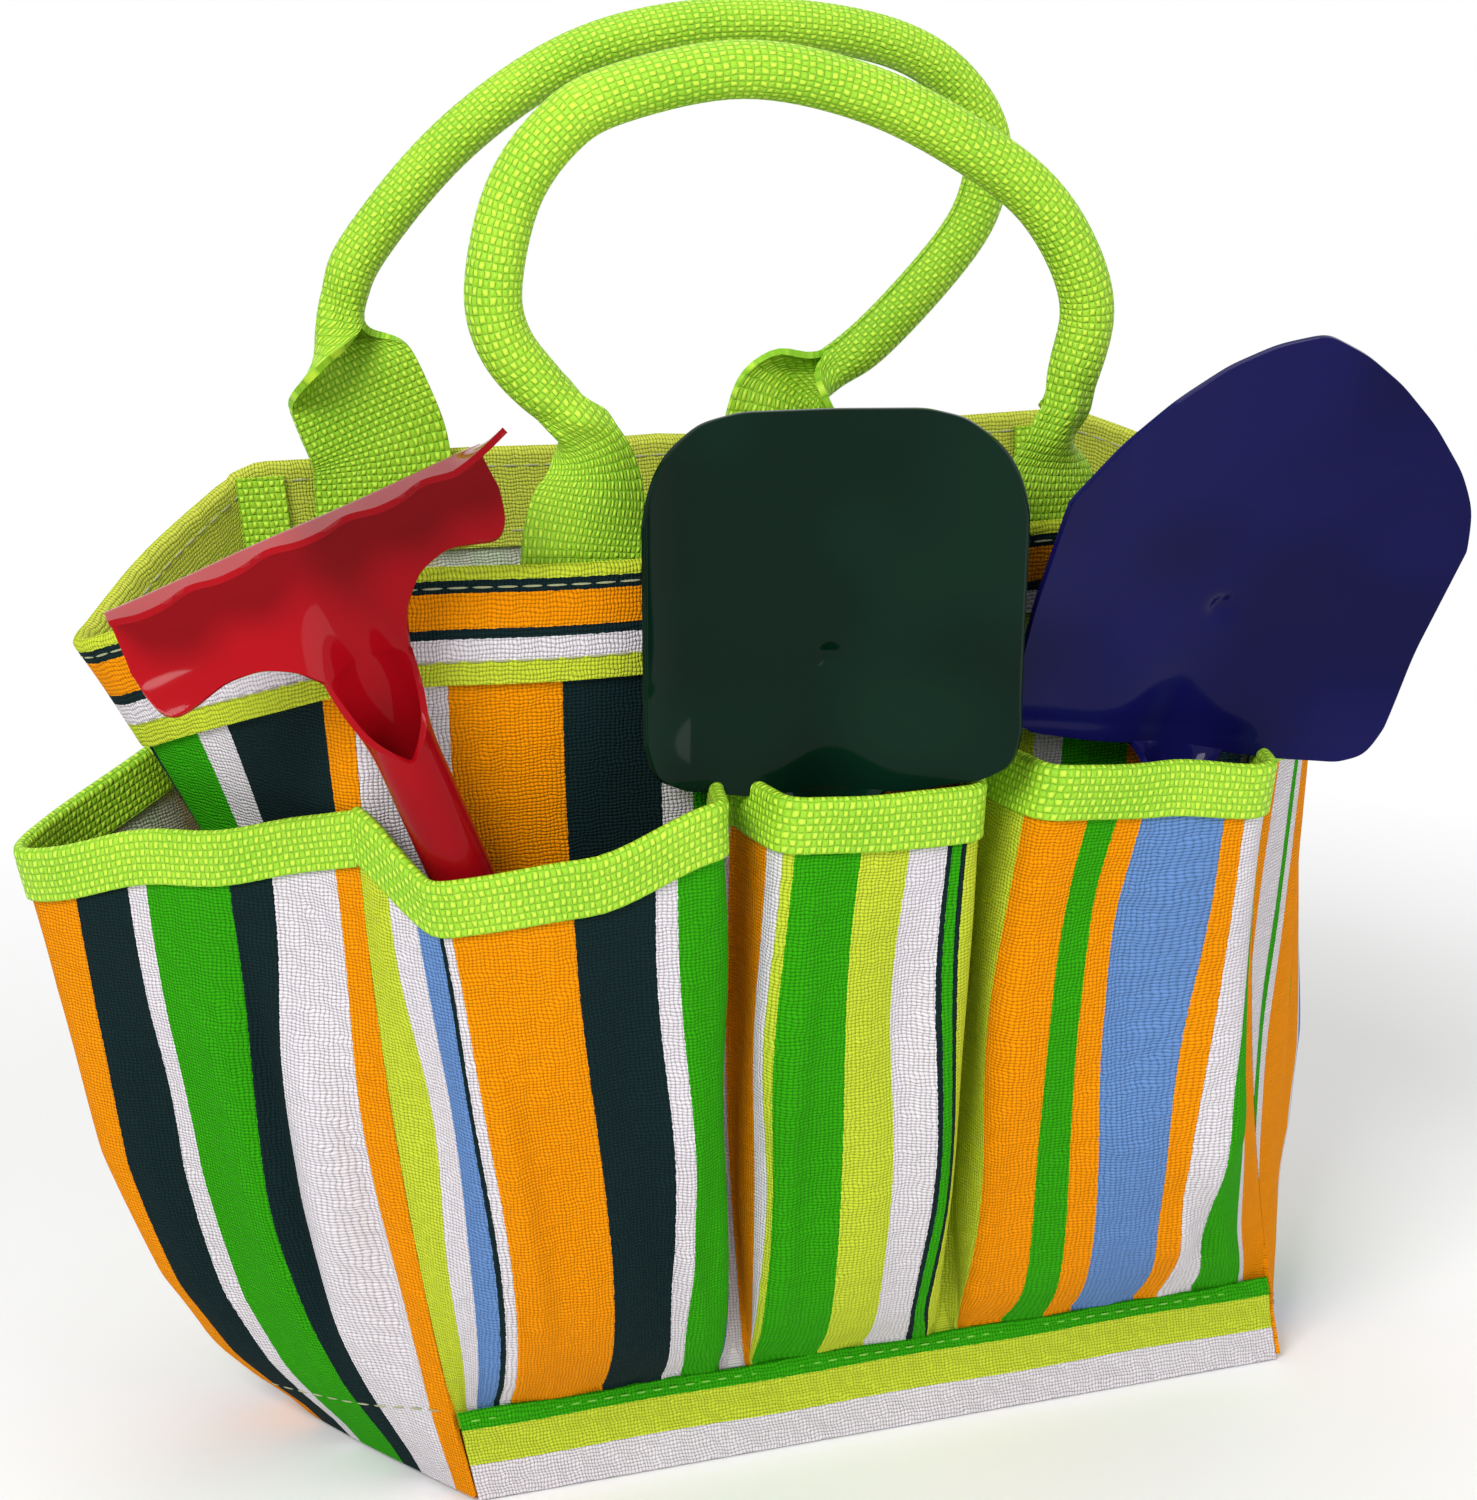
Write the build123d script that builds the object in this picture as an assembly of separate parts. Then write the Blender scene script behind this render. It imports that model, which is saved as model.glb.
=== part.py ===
"""Child's canvas garden tool bag with bellows pockets, rope-cored webbing handles and three tools.

Millimetres. +X runs to the right along the front of the bag, +Y to its back, +Z up.
The origin is the centre of the underside of the base, which rests on the floor.
"""
from build123d import *
from math import cos, degrees, exp, hypot, radians, sin, sqrt, tan
import os

os.makedirs("parts", exist_ok=True)

# ---- bag body ----
BAG_HEIGHT = 195.0
BASE_WIDTH = 180.0
BASE_DEPTH = 95.0
BASE_END_BOW = 16.0        # the left end of the base bows out under the pocket
BASE_RIGHT_BOW = 2.0
MOUTH_FRONT_WIDTH = 188.0
MOUTH_BACK_WIDTH = 191.0
FRONT_LEAN = 16.0          # the soft mouth stands this far left of the base, at the front
BACK_LEAN = 21.5           # and at the back
FRONT_RAKE = 4.5           # the mouth is this far in front of the base
BACK_RAKE = 2.5
BACK_MOUTH_BOW = 3.0       # the back edge of the mouth bows out in its middle
LEFT_SPREAD = 61.0         # how far the crease of each gusset stands out from its front corner
RIGHT_SPREAD = 32.5
LEFT_DROP = 0.375          # the mouth falls this much for each millimetre out along a gusset
RIGHT_DROP = 0.30

# ---- cloth and tapes ----
CLOTH = 1.0
SEWN_GAP = 0.05            # between layers that are stitched together
FACING = 1.2               # one leg of the folded rim band
RIM_BAND = 21.0
BASE_BAND = 22.0           # the base cloth is turned up this far at the front and the back
BOARD = 2.0
BOARD_CLEARANCE = 3.0
TAPE = 0.9                 # thickness of one leg of the pocket binding
TAPE_WIDTH = 10.0

# ---- pockets ----
POCKET_BOTTOM = BASE_BAND + 0.3
FRONT_MOUTH = 149.0
FRONT_BULGE = 19.0
POCKET_BOW = 2.0           # each pocket face bows out in its middle
BACK_MOUTH = 140.0
BACK_BULGE = 8.5
SEAM_SHARE = 0.026         # share of the wall that is sewn flat between two pockets
SIDE_MOUTH = 151.0
SIDE_BOTTOM = 8.0
LEFT_REACH = 56.0          # how far the left pocket billows out past the base
RIGHT_REACH = 15.0
LEFT_SOFTNESS = 35.0       # height over which it does so
RIGHT_SOFTNESS = 15.0
LEFT_MOUTH_DROP = 0.31
RIGHT_MOUTH_DROP = 0.20

# ---- handles ----
WEBBING = 1.6
WEBBING_WIDTH = 30.0
FRONT_FOOT_WIDTH = 24.0    # the front feet are gathered a little narrower
GRIP_RADIUS = 5.0
CORE_RADIUS = 3.5
TAB_DEPTH = 20.0
FOLD_GAP = 0.3

# ---- tools ----
SHEET = 1.2
SOCKET_RADIUS = 6.0
SOCKET_LENGTH = 24.0
GRIP_LENGTH = 92.0
GRIP_BELLY = 6.4
GRIP_FIT = 0.1             # between the grip's spigot and the socket
PIN_RADIUS = 1.2
HANG_HOLE_HEIGHT = 9.0
GRIP_CHAMFER = 3.0
ROLL_ANGLE = 165           # the socket is rolled this far round, to each side of its back
ARC_STEPS = 24
HANG_HOLE_RADIUS = 1.8
# for each tool, where the top of its socket stands (x, height, distance from the front wall), then
# its tilt to the right, its turn, and its lean forward, so that the head rests just clear of the rim
RAKE_STAND = (-94.2, 144.8, 10.6, -21.0, 0.0, 3.0)
SPADE_STAND = (-21.5, 143.0, 12.0, -1.0, -12.0, 3.9)
TROWEL_STAND = (51.1, 144.6, 10.6, 11.0, 0.0, 3.0)
DIMPLE_RADIUS = 4.0
DIMPLE_DEPTH = 0.5
NECK_END_RADIUS = 400.0    # nearly flat, where the neck meets the blade
NECK_WIDTH = 22.0          # there, on the spade and the trowel
SPADE_NECK = 9.0           # from the socket to the blade
SPADE_WIDTH = 70.5
SPADE_LENGTH = 71.0
SPADE_SIDE = 10.5
SPADE_SIDE_DEPTH = 7.0
SPADE_BEND = 7.0
SPADE_TOP_CORNER = 16.0
SPADE_LOW_CORNER = 9.0
SPADE_CROWN = 30.0         # radius where the top edge starts to fall to its corners
TROWEL_NECK = 10.0
TROWEL_WIDTH = 86.0
TROWEL_LENGTH = 88.5
TROWEL_DISH = 7.0
TROWEL_LOW_CORNER = 9.0
TROWEL_CRANK = 13.0        # degrees the blade is bent forward of its socket
RAKE_NECK = 36.0           # from the end of the grip to the plate
RAKE_THROAT = 17.0         # the part of it where the rolled tube opens out
RAKE_NECK_WIDTH = 14.0
RAKE_WIDTH = 74.0
RAKE_PLATE = 32.0
RAKE_END_DEPTH = 23.5      # the plate's ends hang this far below the fold
RAKE_BEND = 3.0
RAKE_TINE = 11.0
RAKE_TINES = 5


def corner(base, rim, belly=(0.0, 0.0)):
    """A corner line of the bag: where it starts, where it ends and how far it bows between."""
    return {"base": base, "rim": rim, "belly": belly}


half_width = BASE_WIDTH / 2
half_depth = BASE_DEPTH / 2
front_y = -half_depth - FRONT_RAKE
back_y = half_depth + BACK_RAKE
front_left_x = -FRONT_LEAN - MOUTH_FRONT_WIDTH / 2
front_right_x = -FRONT_LEAN + MOUTH_FRONT_WIDTH / 2
back_left_x = -BACK_LEAN - MOUTH_BACK_WIDTH / 2
back_right_x = -BACK_LEAN + MOUTH_BACK_WIDTH / 2

CORNERS = [
    corner((-half_width, -half_depth), (front_left_x, front_y), (-5.0, 0.0)),
    corner((half_width, -half_depth), (front_right_x, front_y), (-8.5, 0.0)),
    corner((half_width + BASE_RIGHT_BOW, 0.0), (front_right_x + RIGHT_SPREAD, 0.0), (-9.5, 0.0)),
    corner((half_width, half_depth), (back_right_x, back_y), (-5.0, 0.0)),
    corner((0.0, half_depth), (-BACK_LEAN, back_y + BACK_MOUTH_BOW)),
    corner((-half_width, half_depth), (back_left_x, back_y), (-3.0, 0.0)),
    corner((-half_width - BASE_END_BOW, 0.0), (front_left_x - LEFT_SPREAD, 0.0), (18.9, 0.0)),
]
FRONT_LEFT, FRONT_RIGHT, RIGHT_CREASE, BACK_RIGHT, BACK_MIDDLE, BACK_LEFT, LEFT_CREASE = range(7)
LEVELS = [CLOTH, BASE_BAND, 60.0, 105.0, 150.0, BAG_HEIGHT]


def corner_at(index, z):
    """Where a corner line of the bag passes height z."""
    line = CORNERS[index]
    t = z / BAG_HEIGHT
    bow = 4 * t * (1 - t)
    return tuple(b + (r - b) * t + o * bow for b, r, o in zip(line["base"], line["rim"], line["belly"]))


def offset_path(points, distance, closed=False):
    """The plan path moved sideways, to the right of its direction, with mitred corners."""
    count = len(points)
    moved = []
    for i, (x, y) in enumerate(points):
        before = points[i - 1] if closed or i > 0 else None
        after = points[(i + 1) % count] if closed or i < count - 1 else None
        normals = []
        for start, end in ((before, (x, y)), ((x, y), after)):
            if start is None or end is None:
                continue
            length = hypot(end[0] - start[0], end[1] - start[1])
            normals.append(((end[1] - start[1]) / length, (start[0] - end[0]) / length))
        nx = sum(n[0] for n in normals)
        ny = sum(n[1] for n in normals)
        scale = distance * len(normals) / (nx * nx + ny * ny)
        if len(normals) == 1:
            scale = distance
        moved.append((x + nx * scale, y + ny * scale))
    return moved


def section(points, z):
    """A plan outline as a flat face at height z."""
    return Face(Wire.make_polygon([(x, y, z) for x, y in points]))


def outline(z, grow=0.0):
    """The seven corners of the bag's plan at height z, grown outwards by `grow`."""
    return offset_path([corner_at(i, z) for i in range(len(CORNERS))], grow, closed=True)


def ring(levels, inner, outer):
    """The bag's skin between two offsets, all the way round."""
    solid = loft([section(outline(z, outer), z) for z in levels], ruled=True)
    hollow = loft([section(outline(z, inner), z) for z in levels], ruled=True)
    return solid - hollow


def wall(corners, levels, inner, outer):
    """The bag's skin between two offsets, from the first corner named to the last."""
    sections = []
    for z in levels:
        outside = outline(z, outer)
        inside = outline(z, inner)
        sections.append(section([outside[i] for i in corners] + [inside[i] for i in reversed(corners)], z))
    return loft(sections, ruled=True)


def strip(path_at, levels, half_thickness):
    """Cloth that follows a plan path, which may change with height."""
    sections = []
    for z in levels:
        path = path_at(z)
        right = offset_path(path, half_thickness)
        left = offset_path(path, -half_thickness)
        sections.append(section(right + left[::-1], z))
    return loft(sections, ruled=True)


def above(height, left_x, right_x, left_drop, right_drop):
    """Everything above an edge that is level between two x and falls away outside them."""
    reach = 160.0
    points = [
        (left_x - reach, height - reach * left_drop),
        (left_x, height),
        (right_x, height),
        (right_x + reach, height - reach * right_drop),
        (right_x + reach, height + reach),
        (left_x - reach, height + reach),
    ]
    profile = Face(Wire.make_polygon([(x, -reach, z) for x, z in points]))
    return extrude(profile, amount=2 * reach, dir=(0, 1, 0))


def above_rim(lowered):
    return above(BAG_HEIGHT - lowered, front_left_x, front_right_x, LEFT_DROP, RIGHT_DROP)


# ---- bag body ----
def body_panels():
    """Front, back and two gussets, mitred together at the corners."""
    names = {
        "front_panel": (FRONT_LEFT, FRONT_RIGHT),
        "right_gusset": (FRONT_RIGHT, RIGHT_CREASE, BACK_RIGHT),
        "back_panel": (BACK_RIGHT, BACK_MIDDLE, BACK_LEFT),
        "left_gusset": (BACK_LEFT, LEFT_CREASE, FRONT_LEFT),
    }
    cut = above_rim(0.0)
    return {name: wall(corners, LEVELS, -CLOTH, 0.0) - cut for name, corners in names.items()}


def rim_band():
    """One strip folded over the mouth: the stripes outside, the facing inside."""
    outer = SEWN_GAP + FACING
    slot = SEWN_GAP
    levels = [105.0, 150.0, BAG_HEIGHT + outer]
    band = ring(levels, -CLOTH - outer, outer) & above_rim(RIM_BAND)
    band = band - above_rim(-outer)
    groove = ring(levels, -CLOTH - slot, slot) - above_rim(-slot)
    return band - groove


def base_cloth():
    """The floor of the bag, turned up over the bottoms of the front and back panels."""
    inner = SEWN_GAP
    outer = SEWN_GAP + CLOTH
    floor = extrude(section(outline(0.0, 0.0), 0.0), amount=CLOTH - SEWN_GAP)
    levels = [0.0, BASE_BAND]
    front = wall((FRONT_LEFT, FRONT_RIGHT), levels, inner, outer)
    back = wall((BACK_RIGHT, BACK_MIDDLE, BACK_LEFT), levels, inner, outer)
    skirt = extrude(section(outline(0.0, outer), 0.0), amount=CLOTH - SEWN_GAP)
    return floor + skirt + front + back


def base_board():
    """Stiff card that lies on the floor of the bag."""
    width = BASE_WIDTH - 2 * BOARD_CLEARANCE
    depth = BASE_DEPTH - 2 * BOARD_CLEARANCE
    card = extrude(RectangleRounded(width, depth, 6.0), amount=BOARD)
    return Pos(0, 0, CLOTH) * card


def seam_binding(index, toward):
    """Tape over the seam inside a corner, from the board up to the rim."""
    depth = CLOTH + SEWN_GAP + FACING + SEWN_GAP

    def path(z):
        inside = outline(z, -depth - TAPE / 2)
        start = inside[index]
        end = inside[toward]
        length = hypot(end[0] - start[0], end[1] - start[1])
        step = [(e - s) / length for s, e in zip(start, end)]
        return [tuple(s + d * along for s, d in zip(start, step)) for along in (1.5, 1.5 + TAPE_WIDTH)]

    levels = [CLOTH + BOARD + 0.3, BASE_BAND, 60.0, 105.0, 150.0, BAG_HEIGHT]
    return strip(path, levels, TAPE / 2) - above_rim(0.0)


# ---- pockets ----
def pocket_path(left, right, folds, bulge, bottom, mouth, outward):
    """Plan path of a row of bellows pockets sewn to a wall between two corners.

    `folds` holds, for each pocket, the shares of the wall at its left and right folds, at the
    bottom and at the mouth. Between pockets the cloth goes back to the wall and is sewn there.
    """
    def path(z):
        rise = min(max((z - bottom) / (mouth - bottom), 0.0), 1.2)
        swell = bulge * (1 - exp(-rise / 0.16)) if rise < 0.75 else bulge
        start = corner_at(left, z)
        end = corner_at(right, z)
        sewn = CLOTH / 2 + TAPE + 3 * SEWN_GAP + 0.2

        def at(share, out):
            x = start[0] + (end[0] - start[0]) * share
            y = start[1] + (end[1] - start[1]) * share
            bow = 0.0
            if outward > 0:
                middle = corner_at(BACK_MIDDLE, z)
                bow = (middle[1] - (start[1] + end[1]) / 2) * (1 - abs(2 * share - 1))
            return (x, y + bow + outward * (sewn + out))

        points = []
        for low, high in folds:
            a = low[0] + (high[0] - low[0]) * rise
            b = low[1] + (high[1] - low[1]) * rise
            points.append((a, b))
        result = [at(0.006, 0.0)]
        for i, (a, b) in enumerate(points):
            result.append(at(a, swell))
            result.append(at((a + b) / 2, swell + POCKET_BOW * min(swell / bulge, 1.0)))
            result.append(at(b, swell))
            if i < len(points) - 1:
                seam = (b + points[i + 1][0]) / 2
                result.append(at(seam - SEAM_SHARE / 2, 0.0))
                result.append(at(seam + SEAM_SHARE / 2, 0.0))
        result.append(at(0.994, 0.0))
        return result

    return path


# shares of the wall at each pocket's folds: ((bottom left, bottom right), (mouth left, mouth right))
FRONT_FOLDS = [
    ((0.048, 0.300), (0.036, 0.345)),
    ((0.345, 0.560), (0.420, 0.650)),
    ((0.600, 0.940), (0.705, 0.965)),
]
BACK_FOLDS = [
    ((0.050, 0.310), (0.050, 0.310)),
    ((0.360, 0.640), (0.360, 0.640)),
    ((0.690, 0.950), (0.690, 0.950)),
]
front_pocket_path = pocket_path(
    FRONT_LEFT, FRONT_RIGHT, FRONT_FOLDS, FRONT_BULGE, POCKET_BOTTOM, FRONT_MOUTH, -1)
back_pocket_path = pocket_path(
    BACK_LEFT, BACK_RIGHT, BACK_FOLDS, BACK_BULGE, POCKET_BOTTOM, BACK_MOUTH, 1)


def billow_path(front, crease, back, reach, softness, outward):
    """Plan path of a side pocket that billows out in the middle."""
    def path(z):
        rest = corner_at(crease, 0.0)[0] + outward * 3.0
        tip = rest + outward * reach * (1 - exp(-(z - SIDE_BOTTOM) / softness))
        # sewn close to the corner at the bottom, and clear of the binding at the mouth
        off = outward * (CLOTH / 2 + 0.3 + 2.2 * TAPE * z / SIDE_MOUTH)
        a = corner_at(front, z)
        b = corner_at(back, z)
        ends = [(a[0] + off, a[1] + 1.0), (b[0] + off, b[1] - 1.0)]
        # between the corner and the tip the cloth bows a little
        shoulders = [(e[0] * 0.45 + tip * 0.55 + outward * 2.0, e[1] * 0.42) for e in ends]
        return [ends[0], shoulders[0], (tip, 0.0), shoulders[1], ends[1]]

    return path


left_pocket_path = billow_path(FRONT_LEFT, LEFT_CREASE, BACK_LEFT, LEFT_REACH, LEFT_SOFTNESS, -1)
right_pocket_path = billow_path(FRONT_RIGHT, RIGHT_CREASE, BACK_RIGHT, RIGHT_REACH, RIGHT_SOFTNESS, 1)


def row_pocket(path, mouth):
    """A row of pockets and the tape that binds its mouth."""
    run = mouth - POCKET_BOTTOM
    bind_low = mouth - TAPE_WIDTH
    levels = [POCKET_BOTTOM + run * k for k in (0.0, 0.1, 0.25, 0.5, 0.75)] + [bind_low, mouth]
    cloth = strip(path, levels, CLOTH / 2)
    tape = strip(path, [bind_low, mouth + SEWN_GAP + TAPE], CLOTH / 2 + SEWN_GAP + TAPE)
    slot = strip(path, [bind_low, mouth + SEWN_GAP], CLOTH / 2 + SEWN_GAP)
    return cloth, tape - slot


def side_pocket(path, left_drop, right_drop):
    """One side pocket and its binding; the mouth droops towards the tip."""
    a = corner_at(FRONT_LEFT, SIDE_MOUTH)[0]
    b = corner_at(FRONT_RIGHT, SIDE_MOUTH)[0]

    def above_mouth(lowered):
        return above(SIDE_MOUTH - lowered, a, b, left_drop, right_drop)

    levels = [SIDE_BOTTOM, 16.0, BASE_BAND + 6.0, 45.0, 70.0, 105.0, SIDE_MOUTH + 5.0]
    cloth = strip(path, levels, CLOTH / 2) - above_mouth(0.0)
    tape_levels = [105.0, SIDE_MOUTH + 5.0]
    tape = strip(path, tape_levels, CLOTH / 2 + SEWN_GAP + TAPE)
    tape = (tape & above_mouth(TAPE_WIDTH)) - above_mouth(-SEWN_GAP - TAPE)
    slot = strip(path, tape_levels, CLOTH / 2 + SEWN_GAP) - above_mouth(-SEWN_GAP)
    return cloth, tape - slot


# ---- handles ----
# centre line of each handle: (x, height), the feet first and last
FOOT_HEIGHT = BAG_HEIGHT + SEWN_GAP + FACING + FOLD_GAP + WEBBING / 2
FRONT_HANDLE = [
    (-66, FOOT_HEIGHT), (-69, 219), (-84, 238), (-79, 265), (-50, 284), (-12, 283),
    (20, 266), (39, 242), (31, 217), (28, FOOT_HEIGHT)]
REAR_HANDLE = [
    (-84, FOOT_HEIGHT), (-89, 219), (-91, 240), (-70, 266), (-36, 283), (5, 287),
    (38, 278), (58, 256), (40, 226), (22, 211), (7, FOOT_HEIGHT)]


def arc_radii(points):
    """The largest fillets that the runs of a route leave room for."""
    radii = []
    for a, b, c in zip(points, points[1:], points[2:]):
        first = Vector(*b) - Vector(*a)
        second = Vector(*c) - Vector(*b)
        turn = radians(first.get_angle(second))
        radii.append(0.45 * min(first.length, second.length) / tan(turn / 2))
    return radii


def handle(route, y, foot_width):
    """Webbing that lies flat at its feet and is sewn round a cord between them."""
    points = [(x, y, z) for x, z in route]
    held = points[1:-1]
    path = FilletPolyline(*held, radius=arc_radii(held))
    start = Plane(origin=path @ 0, z_dir=path % 0)
    sleeve = sweep(start * Circle(GRIP_RADIUS), path=path)
    core = sweep(start * Circle(CORE_RADIUS), path=path)
    webbing = sleeve - core
    for foot, end, direction in ((points[0], path @ 0, path % 0), (points[-1], path @ 1, -(path % 1))):
        base = Pos(*foot) * Rectangle(foot_width, WEBBING)
        neck = Pos(*(Vector(*foot) + Vector(0, 0, 10))) * Rectangle(foot_width, WEBBING)
        throat = Plane(origin=end, z_dir=direction) * Rectangle(2 * GRIP_RADIUS * 0.98, 2 * GRIP_RADIUS * 0.7)
        flat = extrude(base, amount=10.0)
        bead = Pos(*foot) * Rot(0, 90, 0) * Cylinder(WEBBING / 2, foot_width)
        webbing = webbing + flat + bead + loft([neck, throat])
    return webbing, core


def handle_tabs(route, y, foot_width):
    """The sewn ends of the webbing, inside the rim."""
    top = BAG_HEIGHT + SEWN_GAP + FACING
    tabs = []
    for x, z in (route[0], route[-1]):
        block = Box(foot_width, WEBBING, TAB_DEPTH)
        tabs.append(Pos(x, y, top - TAB_DEPTH / 2) * block)
    return tabs[0] + tabs[1]


# ---- tools ----
def arc_band(radius, half_angle, z):
    """A strip of sheet bent round, its middle at the back of the tool and its opening in front."""
    inside = []
    outside = []
    for step in range(ARC_STEPS + 1):
        angle = radians(half_angle) * (2 * step / ARC_STEPS - 1)
        for r, side in ((radius - SHEET, inside), (radius, outside)):
            side.append((r * sin(angle), SOCKET_RADIUS - radius + r * cos(angle)))
    return section(inside + outside[::-1], z)


def cranked(blade_z, angle):
    """The turn that bends a blade forward about the end of its neck."""
    return Pos(0, SOCKET_RADIUS, blade_z) * Rot(angle, 0, 0) * Pos(0, -SOCKET_RADIUS, -blade_z)


def socket_and_neck(blade_z, width, throat, crank=0.0):
    """The rolled socket that grips the handle, opening out to meet the blade's lower edge."""
    socket_bottom = GRIP_LENGTH - SOCKET_LENGTH
    socket_top = blade_z - throat
    flat_angle = degrees(width / 2 / NECK_END_RADIUS)
    roll = arc_band(SOCKET_RADIUS, ROLL_ANGLE, socket_bottom)
    socket = extrude(roll, amount=socket_top - socket_bottom, dir=(0, 0, 1))
    neck = loft([
        arc_band(SOCKET_RADIUS, ROLL_ANGLE, socket_top),
        arc_band(SOCKET_RADIUS * 1.5, 95, socket_top + throat * 0.55),
        cranked(blade_z, crank) * arc_band(NECK_END_RADIUS, flat_angle, blade_z),
    ])
    return socket + neck


def formed_sheet(curve, length):
    """Sheet whose cross-section follows a plan curve, pushed up along the tool."""
    start = curve @ 0
    end = curve @ 1
    shift = Vector(0, -SHEET, 0)
    front = curve.moved(Pos(0, -SHEET, 0))
    edges = curve.edges() + [Line(start, start + shift)] + front.edges() + [Line(end, end + shift)]
    return extrude(Face(Wire(edges)), amount=length, dir=(0, 0, 1))


def cookie(points, radii, low):
    """A front outline as a block that trims formed sheet to shape."""
    reach = 40.0
    shape = FilletPolyline(*points, radius=radii, close=True)
    return extrude(Plane.XZ * Pos(0, low, 0) * make_face(shape), amount=reach, both=True)


def mirrored(points):
    """The points with their mirror images, in order round an outline."""
    return points + [(-x, z) for x, z in reversed(points)]


def dimple(head, z):
    """A small round dimple pressed into the blade."""
    press = Pos(0, SOCKET_RADIUS - SHEET - DIMPLE_RADIUS + DIMPLE_DEPTH, z) * Sphere(DIMPLE_RADIUS)
    return head - press


def spade_head():
    """A flat scoop with turned-up sides and rounded corners."""
    low = GRIP_LENGTH + SPADE_NECK
    half = SPADE_WIDTH / 2
    flat = half - SPADE_SIDE
    curve = FilletPolyline(
        (-half, SOCKET_RADIUS - SPADE_SIDE_DEPTH),
        (-flat, SOCKET_RADIUS),
        (flat, SOCKET_RADIUS),
        (half, SOCKET_RADIUS - SPADE_SIDE_DEPTH),
        radius=SPADE_BEND,
    )
    sheet = Pos(0, 0, low - 2) * formed_sheet(curve, SPADE_LENGTH + 4)
    top = SPADE_LENGTH
    points = mirrored([(NECK_WIDTH / 2 + 2, 0.0), (half, 2.0), (half, top - 1.5), (half * 0.5, top)])
    radii = [4.0, SPADE_LOW_CORNER, SPADE_TOP_CORNER, SPADE_CROWN]
    blade = sheet & cookie(points, radii + radii[::-1], low)
    return dimple(blade, low + SPADE_LENGTH * 0.34) + socket_and_neck(low, NECK_WIDTH, SPADE_NECK)


def trowel_head():
    """A broad blade, dished across, that comes to a blunt point."""
    low = GRIP_LENGTH + TROWEL_NECK
    half = TROWEL_WIDTH / 2
    rim = SOCKET_RADIUS - TROWEL_DISH
    curve = ThreePointArc((-half - 4, rim), (0, SOCKET_RADIUS), (half + 4, rim))
    sheet = Pos(0, 0, low - 2) * formed_sheet(curve, TROWEL_LENGTH + 4)
    tip = TROWEL_LENGTH
    reach = 40.0
    side_top = tip * 0.61
    foot = TROWEL_LOW_CORNER
    edges = [
        Line((0, 0), (-half * 0.84, 0)),
        ThreePointArc((-half * 0.84, 0), (-half * 0.94, foot * 0.3), (-half * 0.96, foot)),
        Line((-half * 0.96, foot), (-half, side_top)),
        ThreePointArc((-half, side_top), (-half * 0.62, tip * 0.83), (0, tip)),
        ThreePointArc((0, tip), (half * 0.62, tip * 0.83), (half, side_top)),
        Line((half, side_top), (half * 0.96, foot)),
        ThreePointArc((half * 0.96, foot), (half * 0.94, foot * 0.3), (half * 0.84, 0)),
        Line((half * 0.84, 0), (0, 0)),
    ]
    trim = extrude(Plane.XZ * Pos(0, low, 0) * make_face(Curve() + edges), amount=reach, both=True)
    blade = dimple(sheet & trim, low + TROWEL_LENGTH * 0.33)
    return cranked(low, TROWEL_CRANK) * blade + socket_and_neck(low, NECK_WIDTH, TROWEL_NECK, TROWEL_CRANK)


def rake_head():
    """A cross-shaped head whose top edge is bent forward into short round tines."""
    low = GRIP_LENGTH + RAKE_NECK
    half = RAKE_WIDTH / 2
    fold = RAKE_PLATE
    plate = Pos(-half, SOCKET_RADIUS - SHEET, low) * Box(
        RAKE_WIDTH, SHEET, fold - RAKE_BEND, align=(Align.MIN, Align.MIN, Align.MIN))
    neck = RAKE_NECK_WIDTH / 2
    end = fold - RAKE_END_DEPTH
    points = mirrored([
        (neck, 0.0), (neck * 1.2, 7.0), (half * 0.48, 15.0), (half * 0.72, end + 5.0),
        (half - 2.5, end), (half, end + 7.0), (half, fold + RAKE_BEND)])
    radii = [0.1, 7.0, 7.0, 8.0, 3.5, 3.5, 0.1]
    plate = plate & cookie(points, radii + radii[::-1], low)
    # the bend and the strip of tines, as one bent profile pushed along the fold
    y_back = SOCKET_RADIUS
    z_fold = low + fold
    centre = (y_back - RAKE_BEND, z_fold - RAKE_BEND)
    outer = RAKE_BEND
    inner = RAKE_BEND - SHEET
    q = sqrt(0.5)
    reach = RAKE_TINE
    edges = [
        Line((centre[0] + outer, centre[1]), (centre[0] + inner, centre[1])),
        ThreePointArc(
            (centre[0] + inner, centre[1]),
            (centre[0] + inner * q, centre[1] + inner * q),
            (centre[0], centre[1] + inner)),
        Line((centre[0], centre[1] + inner), (centre[0] - reach, centre[1] + inner)),
        Line((centre[0] - reach, centre[1] + inner), (centre[0] - reach, centre[1] + outer)),
        Line((centre[0] - reach, centre[1] + outer), (centre[0], centre[1] + outer)),
        ThreePointArc(
            (centre[0], centre[1] + outer),
            (centre[0] + outer * q, centre[1] + outer * q),
            (centre[0] + outer, centre[1])),
    ]
    bend = extrude(Plane.YZ * make_face(Curve() + edges), amount=half, both=True)
    pitch = RAKE_WIDTH / RAKE_TINES
    root = centre[0] - reach + pitch / 2
    comb = Pos(0, root + fold / 2, z_fold) * Box(RAKE_WIDTH, fold, fold)
    for i in range(RAKE_TINES):
        x = -half + pitch * (i + 0.5)
        comb = comb + Pos(x, root, z_fold) * Cylinder(pitch / 2, fold)
    return plate + (bend & comb) + socket_and_neck(low, RAKE_NECK_WIDTH, RAKE_THROAT)


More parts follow.
